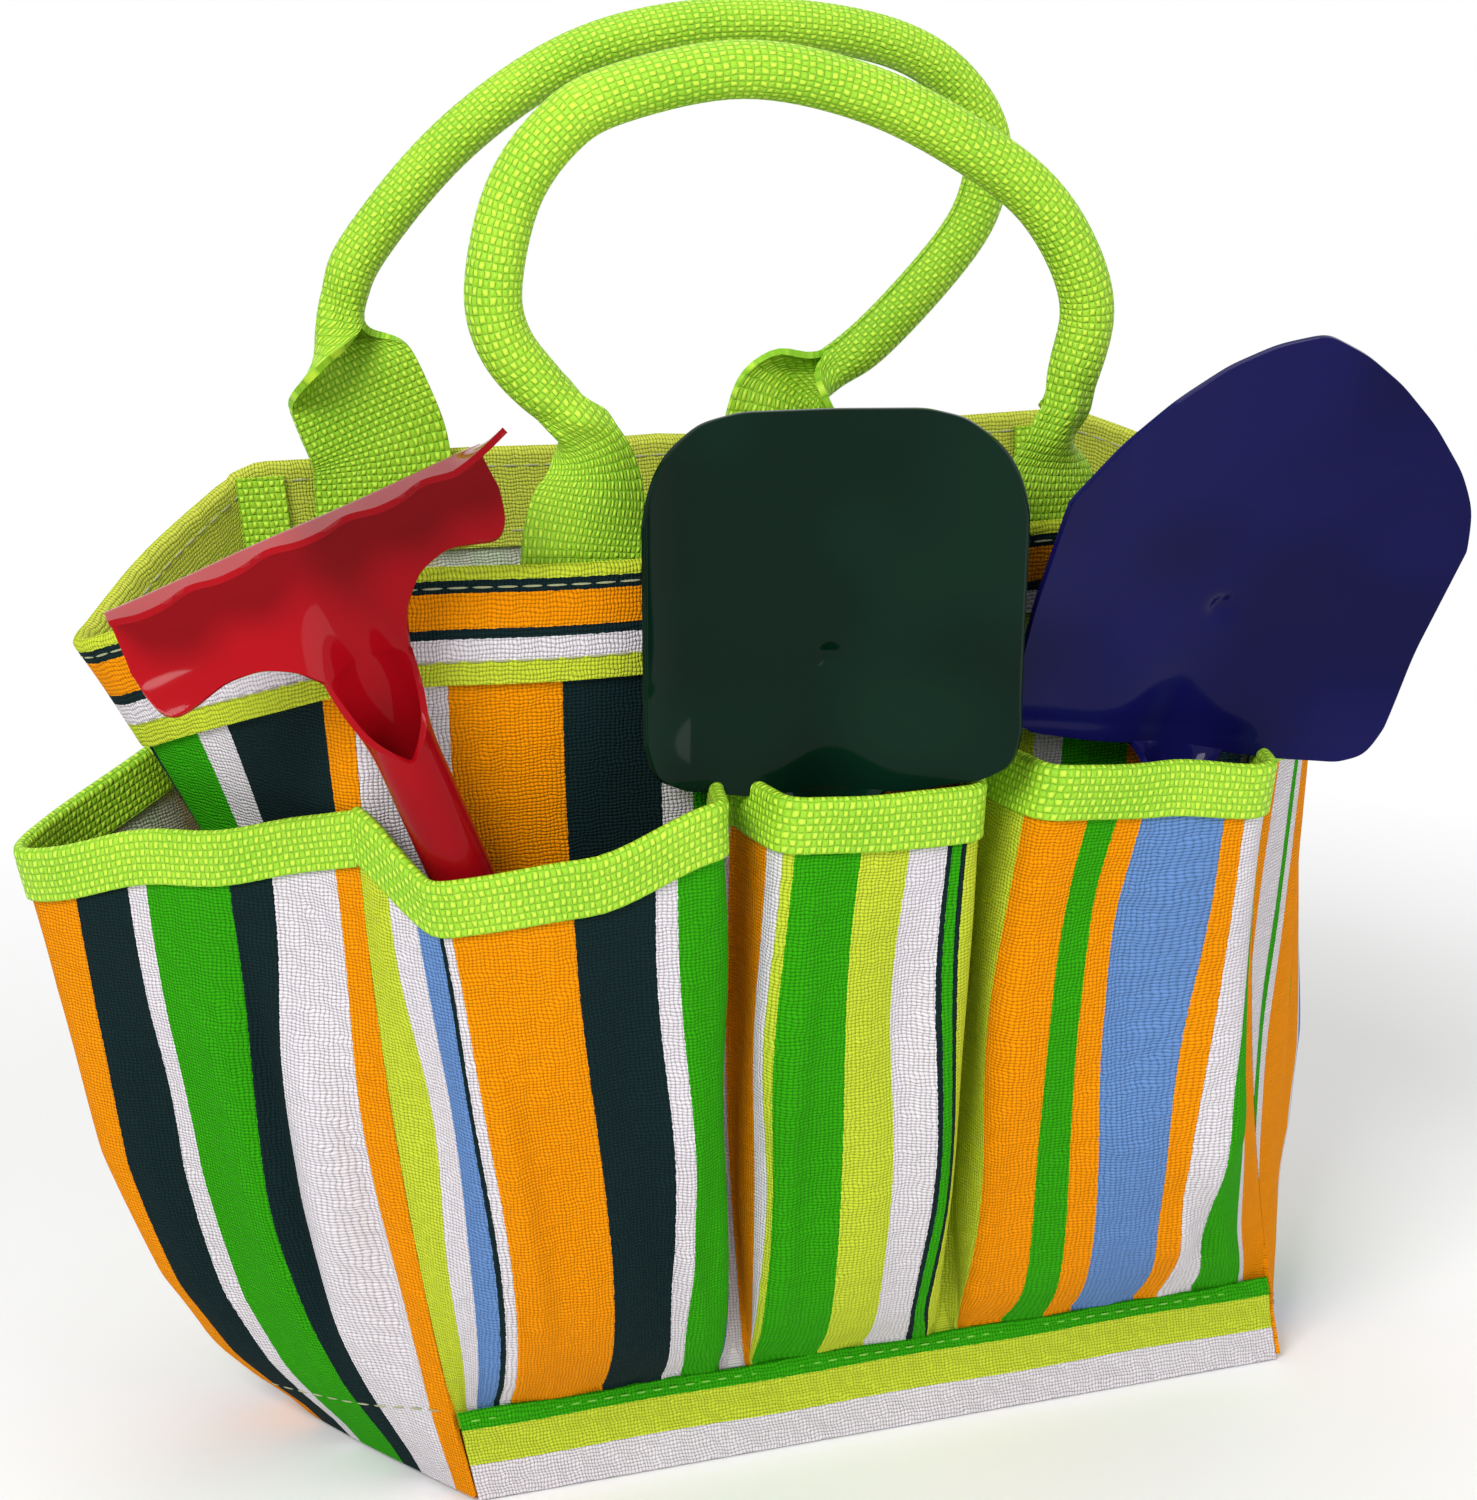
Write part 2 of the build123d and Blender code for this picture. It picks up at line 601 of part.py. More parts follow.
def grip():
    """Turned wooden handle with a spigot that fits the socket."""
    spigot = SOCKET_RADIUS - SHEET - GRIP_FIT
    shoulder = GRIP_LENGTH - SOCKET_LENGTH - 0.3
    neck = SOCKET_RADIUS - 0.4
    top = GRIP_LENGTH - 1.0
    end = neck * 0.8
    line = [
        Line((0, top), (spigot, top)),
        Line((spigot, top), (spigot, shoulder)),
        Line((spigot, shoulder), (neck, shoulder)),
        ThreePointArc((neck, shoulder), (GRIP_BELLY, shoulder * 0.5), (end, GRIP_CHAMFER)),
        Line((end, GRIP_CHAMFER), (end - GRIP_CHAMFER, 0)),
        Line((end - GRIP_CHAMFER, 0), (0, 0)),
        Line((0, 0), (0, top)),
    ]
    body = revolve(Plane.XZ * make_face(Curve() + line), axis=Axis.Z)
    hang_hole = Pos(0, 0, HANG_HOLE_HEIGHT) * Rot(90, 0, 0) * Cylinder(HANG_HOLE_RADIUS, 4 * GRIP_BELLY)
    return body - hang_hole - pin_body(PIN_RADIUS)


def pin_body(radius):
    """The round pin across the socket."""
    z = GRIP_LENGTH - SOCKET_LENGTH / 2
    return Pos(0, 0, z) * Rot(0, 90, 0) * Cylinder(radius, 2 * SOCKET_RADIUS + 0.6)


def tool(name, head, place):
    """Head, wooden grip and pin of one tool, put in its pocket."""
    return {
        name + "_head": place * (head - pin_body(PIN_RADIUS)),
        name + "_grip": place * grip(),
        name + "_pin": place * pin_body(PIN_RADIUS),
    }


def tool_place(stand):
    """Where a tool stands in its pocket."""
    x, z, standoff, tilt, yaw, lean = stand
    top = Vector(x, corner_at(FRONT_LEFT, z)[1] - standoff, z)
    slope = radians(tilt)
    lean = radians(lean)
    axis = Vector(sin(slope) * cos(lean), -sin(lean), cos(slope) * cos(lean))
    across = Vector(cos(radians(yaw)), sin(radians(yaw)), 0)
    across = across - axis * across.dot(axis)
    return Plane(origin=top - axis * GRIP_LENGTH, x_dir=across, z_dir=axis).location


def build():
    """Every node of the bag and its tools."""
    nodes = body_panels()
    nodes["rim_band"] = rim_band()
    nodes["base_cloth"] = base_cloth()
    nodes["base_board"] = base_board()
    seams = {
        "seam_binding_front_left": (FRONT_LEFT, FRONT_RIGHT),
        "seam_binding_front_right": (FRONT_RIGHT, FRONT_LEFT),
        "seam_binding_back_left": (BACK_LEFT, BACK_MIDDLE),
        "seam_binding_back_right": (BACK_RIGHT, BACK_MIDDLE),
    }
    for name, (index, toward) in seams.items():
        nodes[name] = seam_binding(index, toward)
    nodes["front_pockets"], nodes["front_pocket_binding"] = row_pocket(front_pocket_path, FRONT_MOUTH)
    nodes["back_pockets"], nodes["back_pocket_binding"] = row_pocket(back_pocket_path, BACK_MOUTH)
    nodes["left_pocket"], nodes["left_pocket_binding"] = side_pocket(
        left_pocket_path, LEFT_MOUTH_DROP, RIGHT_MOUTH_DROP)
    nodes["right_pocket"], nodes["right_pocket_binding"] = side_pocket(
        right_pocket_path, LEFT_MOUTH_DROP, RIGHT_MOUTH_DROP)
    # the feet hang straight inside the facing, which comes in a little further down
    inset = CLOTH + SEWN_GAP + FACING + SEWN_GAP + WEBBING / 2
    foot_low = FOOT_HEIGHT - TAB_DEPTH - FOLD_GAP
    front_plane = corner_at(FRONT_LEFT, foot_low)[1] + inset
    rear_plane = corner_at(BACK_LEFT, foot_low)[1] - inset
    for name, route, y, width in (
        ("front_handle", FRONT_HANDLE, front_plane, FRONT_FOOT_WIDTH),
        ("rear_handle", REAR_HANDLE, rear_plane, WEBBING_WIDTH),
    ):
        nodes[name + "_tabs"] = handle_tabs(route, y, width)
        nodes[name + "_webbing"], nodes[name + "_core"] = handle(route, y, width)
    nodes.update(tool("rake", rake_head(), tool_place(RAKE_STAND)))
    nodes.update(tool("spade", spade_head(), tool_place(SPADE_STAND)))
    nodes.update(tool("trowel", trowel_head(), tool_place(TROWEL_STAND)))
    return nodes


for node, shape in build().items():
    export_step(shape, f"parts/{node}.step")
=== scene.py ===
"""Looks of a canvas garden tool bag: striped cloth, webbing, cord, wood and enamelled steel.

Lengths are in millimetres until a mesh is made, and +X runs to the right along the front of the
bag, +Y to its back and +Z up, with the origin under the middle of the base.
"""

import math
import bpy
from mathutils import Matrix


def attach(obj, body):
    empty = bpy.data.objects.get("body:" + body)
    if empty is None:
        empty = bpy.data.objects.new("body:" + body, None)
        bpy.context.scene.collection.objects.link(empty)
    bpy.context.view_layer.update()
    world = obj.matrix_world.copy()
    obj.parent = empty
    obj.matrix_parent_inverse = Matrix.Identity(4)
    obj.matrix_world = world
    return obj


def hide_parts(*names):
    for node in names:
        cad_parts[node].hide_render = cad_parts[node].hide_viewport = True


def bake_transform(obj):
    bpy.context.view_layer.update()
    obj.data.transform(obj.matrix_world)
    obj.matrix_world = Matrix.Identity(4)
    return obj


bl_info = {
    "name": "Garden tool bag",
    "version": (1, 0, 0),
    "blender": (4, 5, 0),
    "location": "3D View > Sidebar > Garden bag",
    "description": "Dresses the solids of a garden tool bag in cloth, webbing, wood and enamel",
    "category": "Add Mesh",
}

import bpy
import numpy as np
from bpy.props import FloatProperty, FloatVectorProperty, PointerProperty
from mathutils import Vector

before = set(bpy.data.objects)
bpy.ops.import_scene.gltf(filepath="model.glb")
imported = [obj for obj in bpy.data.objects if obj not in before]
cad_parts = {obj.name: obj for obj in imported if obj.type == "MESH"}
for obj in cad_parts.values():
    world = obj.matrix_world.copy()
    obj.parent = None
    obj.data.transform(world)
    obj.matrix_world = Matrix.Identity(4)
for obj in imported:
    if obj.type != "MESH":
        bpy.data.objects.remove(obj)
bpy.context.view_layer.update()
MM = 0.001

# ---- sizes shared with the solids ----
BAG_HEIGHT = 195.0
FRONT_MOUTH = 149.0
BACK_MOUTH = 140.0
SIDE_MOUTH = 151.0
POCKET_BOTTOM = 22.3
BASE_BAND = 22.0
RIM_BAND = 21.0
TAPE_WIDTH = 10.0
TAPE_THICKNESS = 0.9
RIM_THICKNESS = 1.0
FRONT_HANDLE_Y = -48.49
REAR_HANDLE_Y = 46.67
# corner lines of the bag: base, rim and how far the line bows between them
CORNERS = {
    "front_left": ((-90.0, -47.5), (-110.0, -52.0), (-5.0, 0.0)),
    "front_right": ((90.0, -47.5), (78.0, -52.0), (-8.5, 0.0)),
    "right_crease": ((92.0, 0.0), (110.5, 0.0), (-9.5, 0.0)),
    "back_right": ((90.0, 47.5), (74.0, 50.0), (-5.0, 0.0)),
    "back_middle": ((0.0, 47.5), (-21.5, 53.0), (0.0, 0.0)),
    "back_left": ((-90.0, 47.5), (-117.0, 50.0), (-3.0, 0.0)),
    "left_crease": ((-106.0, 0.0), (-171.0, 0.0), (18.9, 0.0)),
}
# once round the bag and a little further, so that the back's two halves join without a seam
RING = ["back_middle", "back_left", "left_crease", "front_left", "front_right", "right_crease",
        "back_right", "back_middle", "back_left", "left_crease"]
BACK_LEFT, FRONT_LEFT, FRONT_RIGHT, RIGHT_CREASE, BACK_RIGHT, MIDDLE_AGAIN, LEFT_AGAIN = 1, 3, 4, 5, 6, 7, 8
LEFT_SAG = 12.0  # how far the unsupported left end of the base hangs out
SAG_HEIGHT = 32.0  # up to where that shows


def corner(name, z):
    """Where a corner line of the bag passes height z."""
    t = z / BAG_HEIGHT
    bow = 4 * t * (1 - t)
    place = np.array([b + (r - b) * t + o * bow for b, r, o in zip(*CORNERS[name])])
    if name == "left_crease":
        place[0] -= LEFT_SAG * math.exp(-(z / SAG_HEIGHT) ** 2)
    return place


# ---- cloth surfaces ----
ARC = 8  # samples round a rounded corner
LONGEST_ROUNDING = 0.48  # of either side that meets at a corner
WAVES = 7  # in a rippled surface
USUAL_SUM = 2.6  # of that many waves


def rounded(points, radii, runs):
    """A plan path with rounded corners, and the sample at which it passes each of its points."""
    points = [np.array(p, float) for p in points]
    samples, marks = [], [0]
    last = points[0]
    for k in range(1, len(points)):
        here = points[k]
        inner = k < len(points) - 1
        start = here
        if inner:
            sides = [points[k - 1] - here, points[k + 1] - here]
            lengths = [np.linalg.norm(side) for side in sides]
            reach = min(radii[k - 1], LONGEST_ROUNDING * min(lengths))
            start, end = (here + side / length * reach for side, length in zip(sides, lengths))
        for f in np.linspace(0, 1, runs[k - 1], endpoint=False):
            samples.append(last + (start - last) * f)
        if inner:
            marks.append(len(samples) + ARC // 2)
            for q in np.linspace(0, 1, ARC, endpoint=False):
                samples.append((1 - q) ** 2 * start + 2 * q * (1 - q) * here + q * q * end)
            last = end
    samples.append(points[-1])
    marks.append(len(samples) - 1)
    return np.array(samples), marks


class Skin:
    """A cloth surface lofted through plan paths, with the same samples at every height."""

    def __init__(self, path, radii, runs, levels, reference):
        self.levels = np.array(levels, float)
        self.plans = np.array([rounded(path(z), radii, runs)[0] for z in levels])
        plan, self.marks = rounded(path(reference), radii, runs)
        self.across = running_length(plan)
        self.columns = len(plan)

    def at(self, z):
        """Plan positions for an array of heights, one column for each sample."""
        k = np.clip(np.searchsorted(self.levels, z) - 1, 0, len(self.levels) - 2)
        f = ((z - self.levels[k]) / (self.levels[k + 1] - self.levels[k]))[..., None]
        column = np.broadcast_to(np.arange(self.columns), z.shape)
        return self.plans[k, column] * (1 - f) + self.plans[k + 1, column] * f

    def outward(self, z):
        """Unit vectors out of the cloth, in plan."""
        along = np.gradient(self.at(z), axis=1)
        along /= np.maximum(np.linalg.norm(along, axis=2, keepdims=True), 1e-9)
        return np.stack([along[..., 1], -along[..., 0]], axis=2)

    def points(self, z, offset):
        """Points at heights z, moved out of the surface by offset."""
        plan = self.at(z) + self.outward(z) * np.asarray(offset)[..., None]
        return np.concatenate([plan, z[..., None]], axis=2)


def running_length(points):
    """Distance along a line of points, at each of them."""
    return np.concatenate([[0.0], np.cumsum(np.linalg.norm(np.diff(points, axis=0), axis=1))])


def points_at(x, y, z):
    """Points from coordinates, each an array or one number for all of them."""
    return np.stack(np.broadcast_arrays(x, y, z), axis=-1)


def smooth_step(x, low, high):
    """0 below low, 1 above high and smooth between them."""
    t = np.clip((x - low) / (high - low), 0, 1)
    return t * t * (3 - 2 * t)


def ripples(a, b, seed, size, height):
    """Gentle unevenness over a surface with coordinates a and b."""
    random = np.random.default_rng(seed)
    total = np.zeros(np.broadcast(a, b).shape)
    for _ in range(WAVES):
        angle = random.uniform(0, math.pi)
        wave = size * random.uniform(0.6, 1.8)
        phase = random.uniform(0, 2 * math.pi)
        total += np.sin((a * math.cos(angle) + b * math.sin(angle)) * 2 * math.pi / wave + phase)
    return height * total / USUAL_SUM


def ridge(a, b, start, end, width, height):
    """A soft fold from start to end."""
    sa, sb = start
    da, db = end[0] - sa, end[1] - sb
    length = math.hypot(da, db)
    along = ((a - sa) * da + (b - sb) * db) / length
    off = ((a - sa) * db - (b - sb) * da) / length
    fade_in = smooth_step(along, -0.15 * length, 0.3 * length)
    fade_out = 1 - smooth_step(along, 0.7 * length, 1.15 * length)
    return height * np.exp(-(off / width) ** 2) * fade_in * fade_out


def at_marks(skin, values):
    """A value for each column, smoothly joined through the values at the path's own points."""
    marks = skin.across[skin.marks]
    result = np.full(skin.columns, float(values[0]))
    for i, change in enumerate(np.diff(values)):
        result += change * smooth_step(skin.across, marks[i], marks[i + 1])
    return result


# ---- meshes ----
def put(name, data):
    """An object in the scene."""
    thing = bpy.data.objects.new(name, data)
    bpy.context.collection.objects.link(thing)
    return thing


def new_piece(name, vertices, faces, uvs, materials):
    """A mesh object from points in millimetres."""
    mesh = bpy.data.meshes.new(name)
    mesh.from_pydata([tuple(v * MM) for v in vertices], [], faces)
    if uvs is not None:
        layer = mesh.uv_layers.new(name="cloth")
        loops = np.array([uvs[v.vertex_index] for v in mesh.loops], dtype=np.float32)
        layer.data.foreach_set("uv", loops.ravel())
    for material in materials:
        mesh.materials.append(material)
    return put(name, mesh)


def settle(piece, sharp=50):
    """Makes a piece's modifiers part of its mesh and shades it."""
    bpy.context.view_layer.update()
    evaluated = piece.evaluated_get(bpy.context.evaluated_depsgraph_get())
    mesh = bpy.data.meshes.new_from_object(evaluated)
    piece.modifiers.clear()
    piece.data = mesh
    mesh.name = piece.name
    mesh.polygons.foreach_set("use_smooth", [True] * len(mesh.polygons))
    mesh.set_sharp_from_angle(angle=math.radians(sharp))
    return piece


def grid_faces(rows, columns):
    """Faces of a grid of vertices; each row follows the one before."""
    r, c = np.meshgrid(np.arange(rows - 1), np.arange(columns - 1), indexing="ij")
    first = (r * columns + c).ravel()
    return np.stack([first, first + 1, first + columns + 1, first + columns], axis=1).tolist()


def sheet(name, points, across, along, thickness, materials):
    """Cloth round a grid of points: rows up, columns to the right as seen from outside."""
    uv = np.stack(np.broadcast_arrays(across, along), axis=2).reshape(-1, 2)
    piece = new_piece(name, points.reshape(-1, 3), grid_faces(*points.shape[:2]), uv, materials)
    solid = piece.modifiers.new("thickness", "SOLIDIFY")
    solid.thickness = thickness * MM
    solid.offset = 0
    solid.material_offset = len(materials) - 1
    return settle(piece)


def place(piece, body, slot, *nodes):
    """Puts a piece on its body in the name of the solids that it stands for."""
    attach(piece, body)
    if nodes:
        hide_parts(*nodes)
    return piece


THREAD_SIDES = 6
THREAD_RADIUS = 0.2
# shares of a stitch's length and of its radius, from end to end
THREAD_PROFILE = [(-0.5, 0.25), (-0.32, 0.9), (0.0, 1.1), (0.32, 0.9), (0.5, 0.25)]


def at_distance(where, distance, values):
    """A point or direction between those that belong to the distances along a run."""
    return np.array([np.interp(where, distance, values[:, k]) for k in range(3)])


def stitches(name, runs, pitch, length, material):
    """Rows of thread stitches, each run a list of points with the way out of the cloth at each."""
    vertices, faces = [], []
    turns = [2 * math.pi * k / THREAD_SIDES for k in range(THREAD_SIDES)]
    for points, normals in runs:
        distance = running_length(points)
        for i in range(int(distance[-1] / pitch)):
            middle = (i + 0.5) * pitch
            start, end = (at_distance(middle + way * length / 2, distance, points) for way in (-1, 1))
            way = (end - start) / np.linalg.norm(end - start)
            side = np.cross(way, at_distance(middle, distance, normals))
            side /= np.linalg.norm(side)
            out = np.cross(side, way)
            first = len(vertices)
            for share, swell in THREAD_PROFILE:
                centre = (start + end) / 2 + way * length * share
                centre = centre + out * THREAD_RADIUS * (0.5 * swell - 0.3)
                vertices += [centre + THREAD_RADIUS * swell * (side * math.cos(turn) + out * math.sin(turn))
                             for turn in turns]
            last = len(vertices) - THREAD_SIDES
            for ring in range(first, last, THREAD_SIDES):
                for k in range(THREAD_SIDES):
                    a, b = ring + k, ring + (k + 1) % THREAD_SIDES
                    faces.append((a, b, b + THREAD_SIDES, a + THREAD_SIDES))
            faces.append(tuple(first + k for k in reversed(range(THREAD_SIDES))))
            faces.append(tuple(last + k for k in range(THREAD_SIDES)))
    return settle(new_piece(name, np.array(vertices), faces, None, [material]))


# ---- finishes ----
def tint(code):
    """A colour written as six hexadecimal digits, in linear light."""
    parts = [int(code[i:i + 2], 16) / 255 for i in (0, 2, 4)]
    return tuple(p / 12.92 if p <= 0.04045 else ((p + 0.055) / 1.055) ** 2.4 for p in parts)


def arithmetic(operation, reflected=False):
    """A method that adds the maths node for an operator."""
    def method(self, other):
        return self.finish.maths(operation, *((other, self) if reflected else (self, other)))
    return method


class Value:
    """A shader socket that takes part in arithmetic."""
    __add__ = __radd__ = arithmetic("ADD")
    __sub__, __rsub__ = arithmetic("SUBTRACT"), arithmetic("SUBTRACT", reflected=True)
    __mul__ = __rmul__ = arithmetic("MULTIPLY")
    __pow__ = arithmetic("POWER")

    def __init__(self, finish, socket):
        self.finish = finish
        self.socket = socket

    def __abs__(self):
        return self.finish.maths("ABSOLUTE", self)


class Finish:
    """A material, or the world round the object, and the nodes that make it."""

    def __init__(self, name, kind="materials"):
        self.made = getattr(bpy.data, kind).new(name)
        self.made.use_nodes = True
        self.tree = self.made.node_tree
        self.tree.nodes.clear()

    def node(self, kind, settings=(), inputs=(), output=0):
        """Adds a node: its settings first, then values or links for its sockets."""
        node = self.tree.nodes.new("ShaderNode" + kind)
        for key, value in dict(settings).items():
            if key == "stops":
                self.set_stops(node.color_ramp, value)
            else:
                setattr(node, key, value)
        for key, value in dict(inputs).items():
            if isinstance(value, Value):
                self.tree.links.new(value.socket, node.inputs[key])
            else:
                node.inputs[key].default_value = value
        return Value(self, node.outputs[output]) if len(node.outputs) else None

    @staticmethod
    def set_stops(ramp, stops):
        ramp.interpolation = "CONSTANT"
        while len(ramp.elements) < len(stops):
            ramp.elements.new(1.0)
        for element, (position, colour) in zip(ramp.elements, stops):
            element.position = position
            element.color = (*colour, 1.0)

    def maths(self, operation, *values):
        return self.node("Math", {"operation": operation}, enumerate(values))

    def colours(self, factor, first, second, mode="MIX"):
        inputs = {0: factor}
        for key, value in ((6, first), (7, second)):
            inputs[key] = value if isinstance(value, Value) else (*value, 1.0)
        return self.node("Mix", {"data_type": "RGBA", "blend_type": mode}, inputs, 2)

    def scaled(self, vector, by):
        return self.node("VectorMath", {"operation": "MULTIPLY"}, {0: vector, 1: by})

    def noise(self, vector, scale, detail=2.0):
        """Noise of one scale, or stretched by a scale for each direction."""
        if isinstance(scale, tuple):
            vector, scale = self.scaled(vector, scale), 1.0
        return self.node("TexNoise", {}, {"Vector": vector, "Scale": scale, "Detail": detail})

    def shades(self, factor, colour, dark, light=1.0):
        """From a darker to a lighter shade of one colour."""
        return self.colours(factor, *(tuple(min(c * by, 1) for c in colour) for by in (dark, light)))

    def wave(self, value, pitch):
        """A sine whose half wave is as long as the pitch."""
        return self.maths("SINE", value * (math.pi / pitch))

    def cloth_coordinates(self):
        """Millimetres across and along the cloth, as a vector and as two numbers."""
        vector = self.node("UVMap", {"uv_map": "cloth"})
        across, along = (self.node("SeparateXYZ", {}, {0: vector}, output) for output in (0, 1))
        return vector, across, along

    def object_place(self):
        return self.node("TexCoord", {}, {}, 3)

    def bump(self, height, depth, strength=1.0):
        """Relief of a depth in millimetres."""
        return self.node("Bump", {}, {"Height": height, "Distance": depth * MM, "Strength": strength})

    def surface(self, **inputs):
        """Ends the material with a surface; the inputs are named as the shader's sockets are."""
        names = {key.replace("_", " ").title().replace("Ior", "IOR"): value
                 for key, value in inputs.items()}
        shader = self.node("BsdfPrincipled", {}, names)
        self.node("OutputMaterial", {}, {"Surface": shader})
        return self.made


def canvas(name, stripes, looks, reverse=False):
    """Woven cotton, printed with stripes given as widths and colours; the reverse is unprinted."""
    finish = Finish(name)
    vector, u, v = finish.cloth_coordinates()
    wander = (finish.noise(vector, (0.25, 0.25, 1.0)) - 0.5) * 1.6
    warp = abs(finish.wave(u + wander, looks.weft_pitch))
    weft = abs(finish.wave(v - wander, looks.warp_pitch))
    threads = (warp * weft) ** 0.5
    pinholes = ((1 - warp) * (1 - weft)) ** 1.5
    total = sum(width for width, _ in stripes)
    edge = finish.noise(vector, (0.9, 0.9, 1.0))
    stops, start = [], 0.0
    for width, colour in stripes:
        stops.append((start / total, colour))
        start += width
    printed = finish.node("ValToRGB", {"stops": stops}, {0: (u + (edge - 0.5) * 0.5) * (1.0 / total)})
    if reverse:
        printed = finish.colours(0.86, printed, tuple(looks.unprinted))
    slub, cross_slub, cloud = (
        finish.noise(vector, (*scale, 1.0), 3.0) for scale in ((1.6, 0.09), (0.07, 1.7), (0.03, 0.03)))
    # partly painted shade: thread crowns lighter and the pinholes between yarns darker; slubs and cloud are
    # the yarn's own uneven tone
    depth = 0.84 + threads * 0.13 + (slub - 0.5) * 0.2 + (cross_slub - 0.5) * 0.2 + (cloud - 0.5) * 0.12
    shade = finish.maths("MINIMUM", depth * (1 - pinholes * 0.55), 1.04)
    grey = finish.node("CombineColor", {}, {0: shade, 1: shade, 2: shade})
    relief = threads + (slub + cross_slub) * 0.35 - pinholes * 0.6
    return finish.surface(
        base_color=finish.colours(1.0, printed, grey, "MULTIPLY"), roughness=0.9, specular_ior_level=0.08,
        normal=finish.bump(relief, 0.3, 0.9))


def both_faces(face, reverse, looks, stripes):
    """Finishes for the printed face of a cloth and for its reverse."""
    stripes = stripes_of(looks, stripes)
    return [canvas(face, stripes, looks), canvas(reverse, stripes, looks, reverse=True)]


def webbing(name, looks):
    """Thick shiny tape whose warp shows as staggered beads, with painted highlight on the beads and painted
    shade between them.
    """
    finish = Finish(name)
    vector, u, v = finish.cloth_coordinates()
    wander = (finish.noise(vector, (0.35, 0.35, 1.0), 1.0) - 0.5) * 0.9
    checker = finish.wave(u + wander, looks.bead_width) * finish.wave(v + wander * 0.6, looks.bead_length)
    raised = finish.maths("MAXIMUM", checker, 0.0) ** 0.55
    sunk = finish.maths("MAXIMUM", checker * -1.0, 0.0) ** 0.7
    relief = raised + sunk * 0.32
    strands = finish.noise(vector, (5.0, 1.1, 1.0))
    cloud = finish.noise(vector, (0.05, 0.05, 1.0))
    # painted highlight and shade: the raised beads take the light colour and the hollows the deep one;
    # strands and cloud are the yarn's own uneven tone
    tone = 0.22 + relief * 0.8 + (strands - 0.5) * 0.7 + (cloud - 0.5) * 0.5
    tone = finish.maths("SMOOTH_MIN", tone, 1.0, 0.2)
    return finish.surface(
        base_color=finish.colours(tone, tuple(looks.deep), tuple(looks.light)),
        roughness=0.58 - raised * 0.18, specular_ior_level=0.3,
        normal=finish.bump(relief + strands * 0.12, 0.5, 1.0))


def thread(name, colour):
    """Sewing thread."""
    finish = Finish(name)
    where = finish.object_place()
    twist = finish.node("TexWave", {"bands_direction": "DIAGONAL"}, {"Vector": where, "Scale": 900.0}, 1)
    return finish.surface(
        base_color=finish.shades(finish.noise(where, 400.0), colour, 0.8), roughness=0.7,
        normal=finish.bump(twist, 0.1, 0.4))


def enamel(name, colour, looks):
    """Gloss paint on pressed steel, with the faint ripple of dipped paint and darker patches of painted
    reflection.
    """
    finish = Finish(name)
    where = finish.object_place()
    ripple = finish.noise(where, 60.0, 1.0)
    dust = finish.noise(where, 900.0, 2.0)
    # painted reflection: soft patches darken the enamel to two thirds of its colour, standing in for dark
    # surroundings mirrored in the gloss
    painted_reflection_patches = finish.noise(where, 22.0, 1.0)
    tone = finish.maths("SMOOTH_MIN", finish.maths("MAXIMUM", (painted_reflection_patches - 0.42) * 6.0, 0.0), 1.0, 0.3)
    return finish.surface(
        base_color=finish.shades(tone, colour, 0.66, 1.02), specular_ior_level=0.09,
        roughness=looks.paint_roughness + (dust - 0.5) * 0.04, normal=finish.bump(ripple, 0.15, 0.25))


def wood(name, colour):
    """Turned and varnished wood with grain along the grip."""
    finish = Finish(name)
    where = finish.object_place()
    warp = finish.noise(where, (60.0, 60.0, 8.0), 3.0)
    drawn_out = finish.scaled(where, (1.0, 1.0, 0.04))
    rings = finish.node("TexWave", {"wave_type": "RINGS", "rings_direction": "Z"},
                        {"Vector": drawn_out, "Scale": 420.0, "Distortion": 3.0, "Detail": 2.0}, 1)
    pores = finish.noise(where, (1500.0, 1500.0, 90.0))
    light = finish.shades(warp, colour, 0.82, 1.12)
    grain = finish.colours(rings * 0.35 + pores * 0.25, light, tuple(c * 0.55 for c in colour))
    return finish.surface(
        base_color=grain, roughness=0.45 - pores * 0.1, coat_weight=0.25, normal=finish.bump(pores, 0.1, 0.3))


def steel(name):
    """Plain drawn steel."""
    finish = Finish(name)
    where = finish.object_place()
    scratches = finish.noise(where, (200.0, 3000.0, 3000.0))
    return finish.surface(
        base_color=finish.colours(scratches, (0.42, 0.42, 0.43), (0.62, 0.62, 0.63)), metallic=1.0,
        roughness=0.28 + scratches * 0.2, normal=finish.bump(scratches, 0.03, 0.3))


def card(name, colour):
    """Grey-brown fibre board."""
    finish = Finish(name)
    where = finish.object_place()
    fibres = finish.noise(where, (700.0, 900.0, 900.0), 4.0)
    flecks = finish.noise(where, 260.0, 1.0) ** 3.0
    tone = finish.shades(fibres, colour, 0.75, 1.15)
    return finish.surface(
        base_color=finish.colours(flecks, tone, (0.12, 0.09, 0.06)), roughness=0.9,
        normal=finish.bump(fibres, 0.15, 0.5))


def cord_cotton(name, colour):
    """Soft twisted cotton."""
    finish = Finish(name)
    vector, u, v = finish.cloth_coordinates()
    yarns = abs(finish.maths("SINE", (u + v * 0.6) * 3.2))
    fluff = finish.noise(vector, (4.0, 1.5, 1.0), 3.0)
    # partly painted shade: darker in the grooves between the twisted yarns; the fluff is the cotton's own
    # uneven tone
    return finish.surface(
        base_color=finish.shades(yarns * 0.6 + fluff * 0.4, colour, 0.6), roughness=0.95,
        normal=finish.bump(yarns + fluff * 0.4, 0.3, 0.8))


# ---- what a user would change ----
def colour_property(name, description, code):
    return FloatVectorProperty(
        name=name, description=description, subtype="COLOR", size=3, min=0, max=1, default=tint(code))


def size_property(name, description, default, low, high):
    return FloatProperty(
        name=name, description=description + ", in millimetres", default=default, min=low, max=high)


def power_property(name, description, default):
    return FloatProperty(
        name=name, description=description, default=default, min=0, subtype="POWER", unit="POWER")


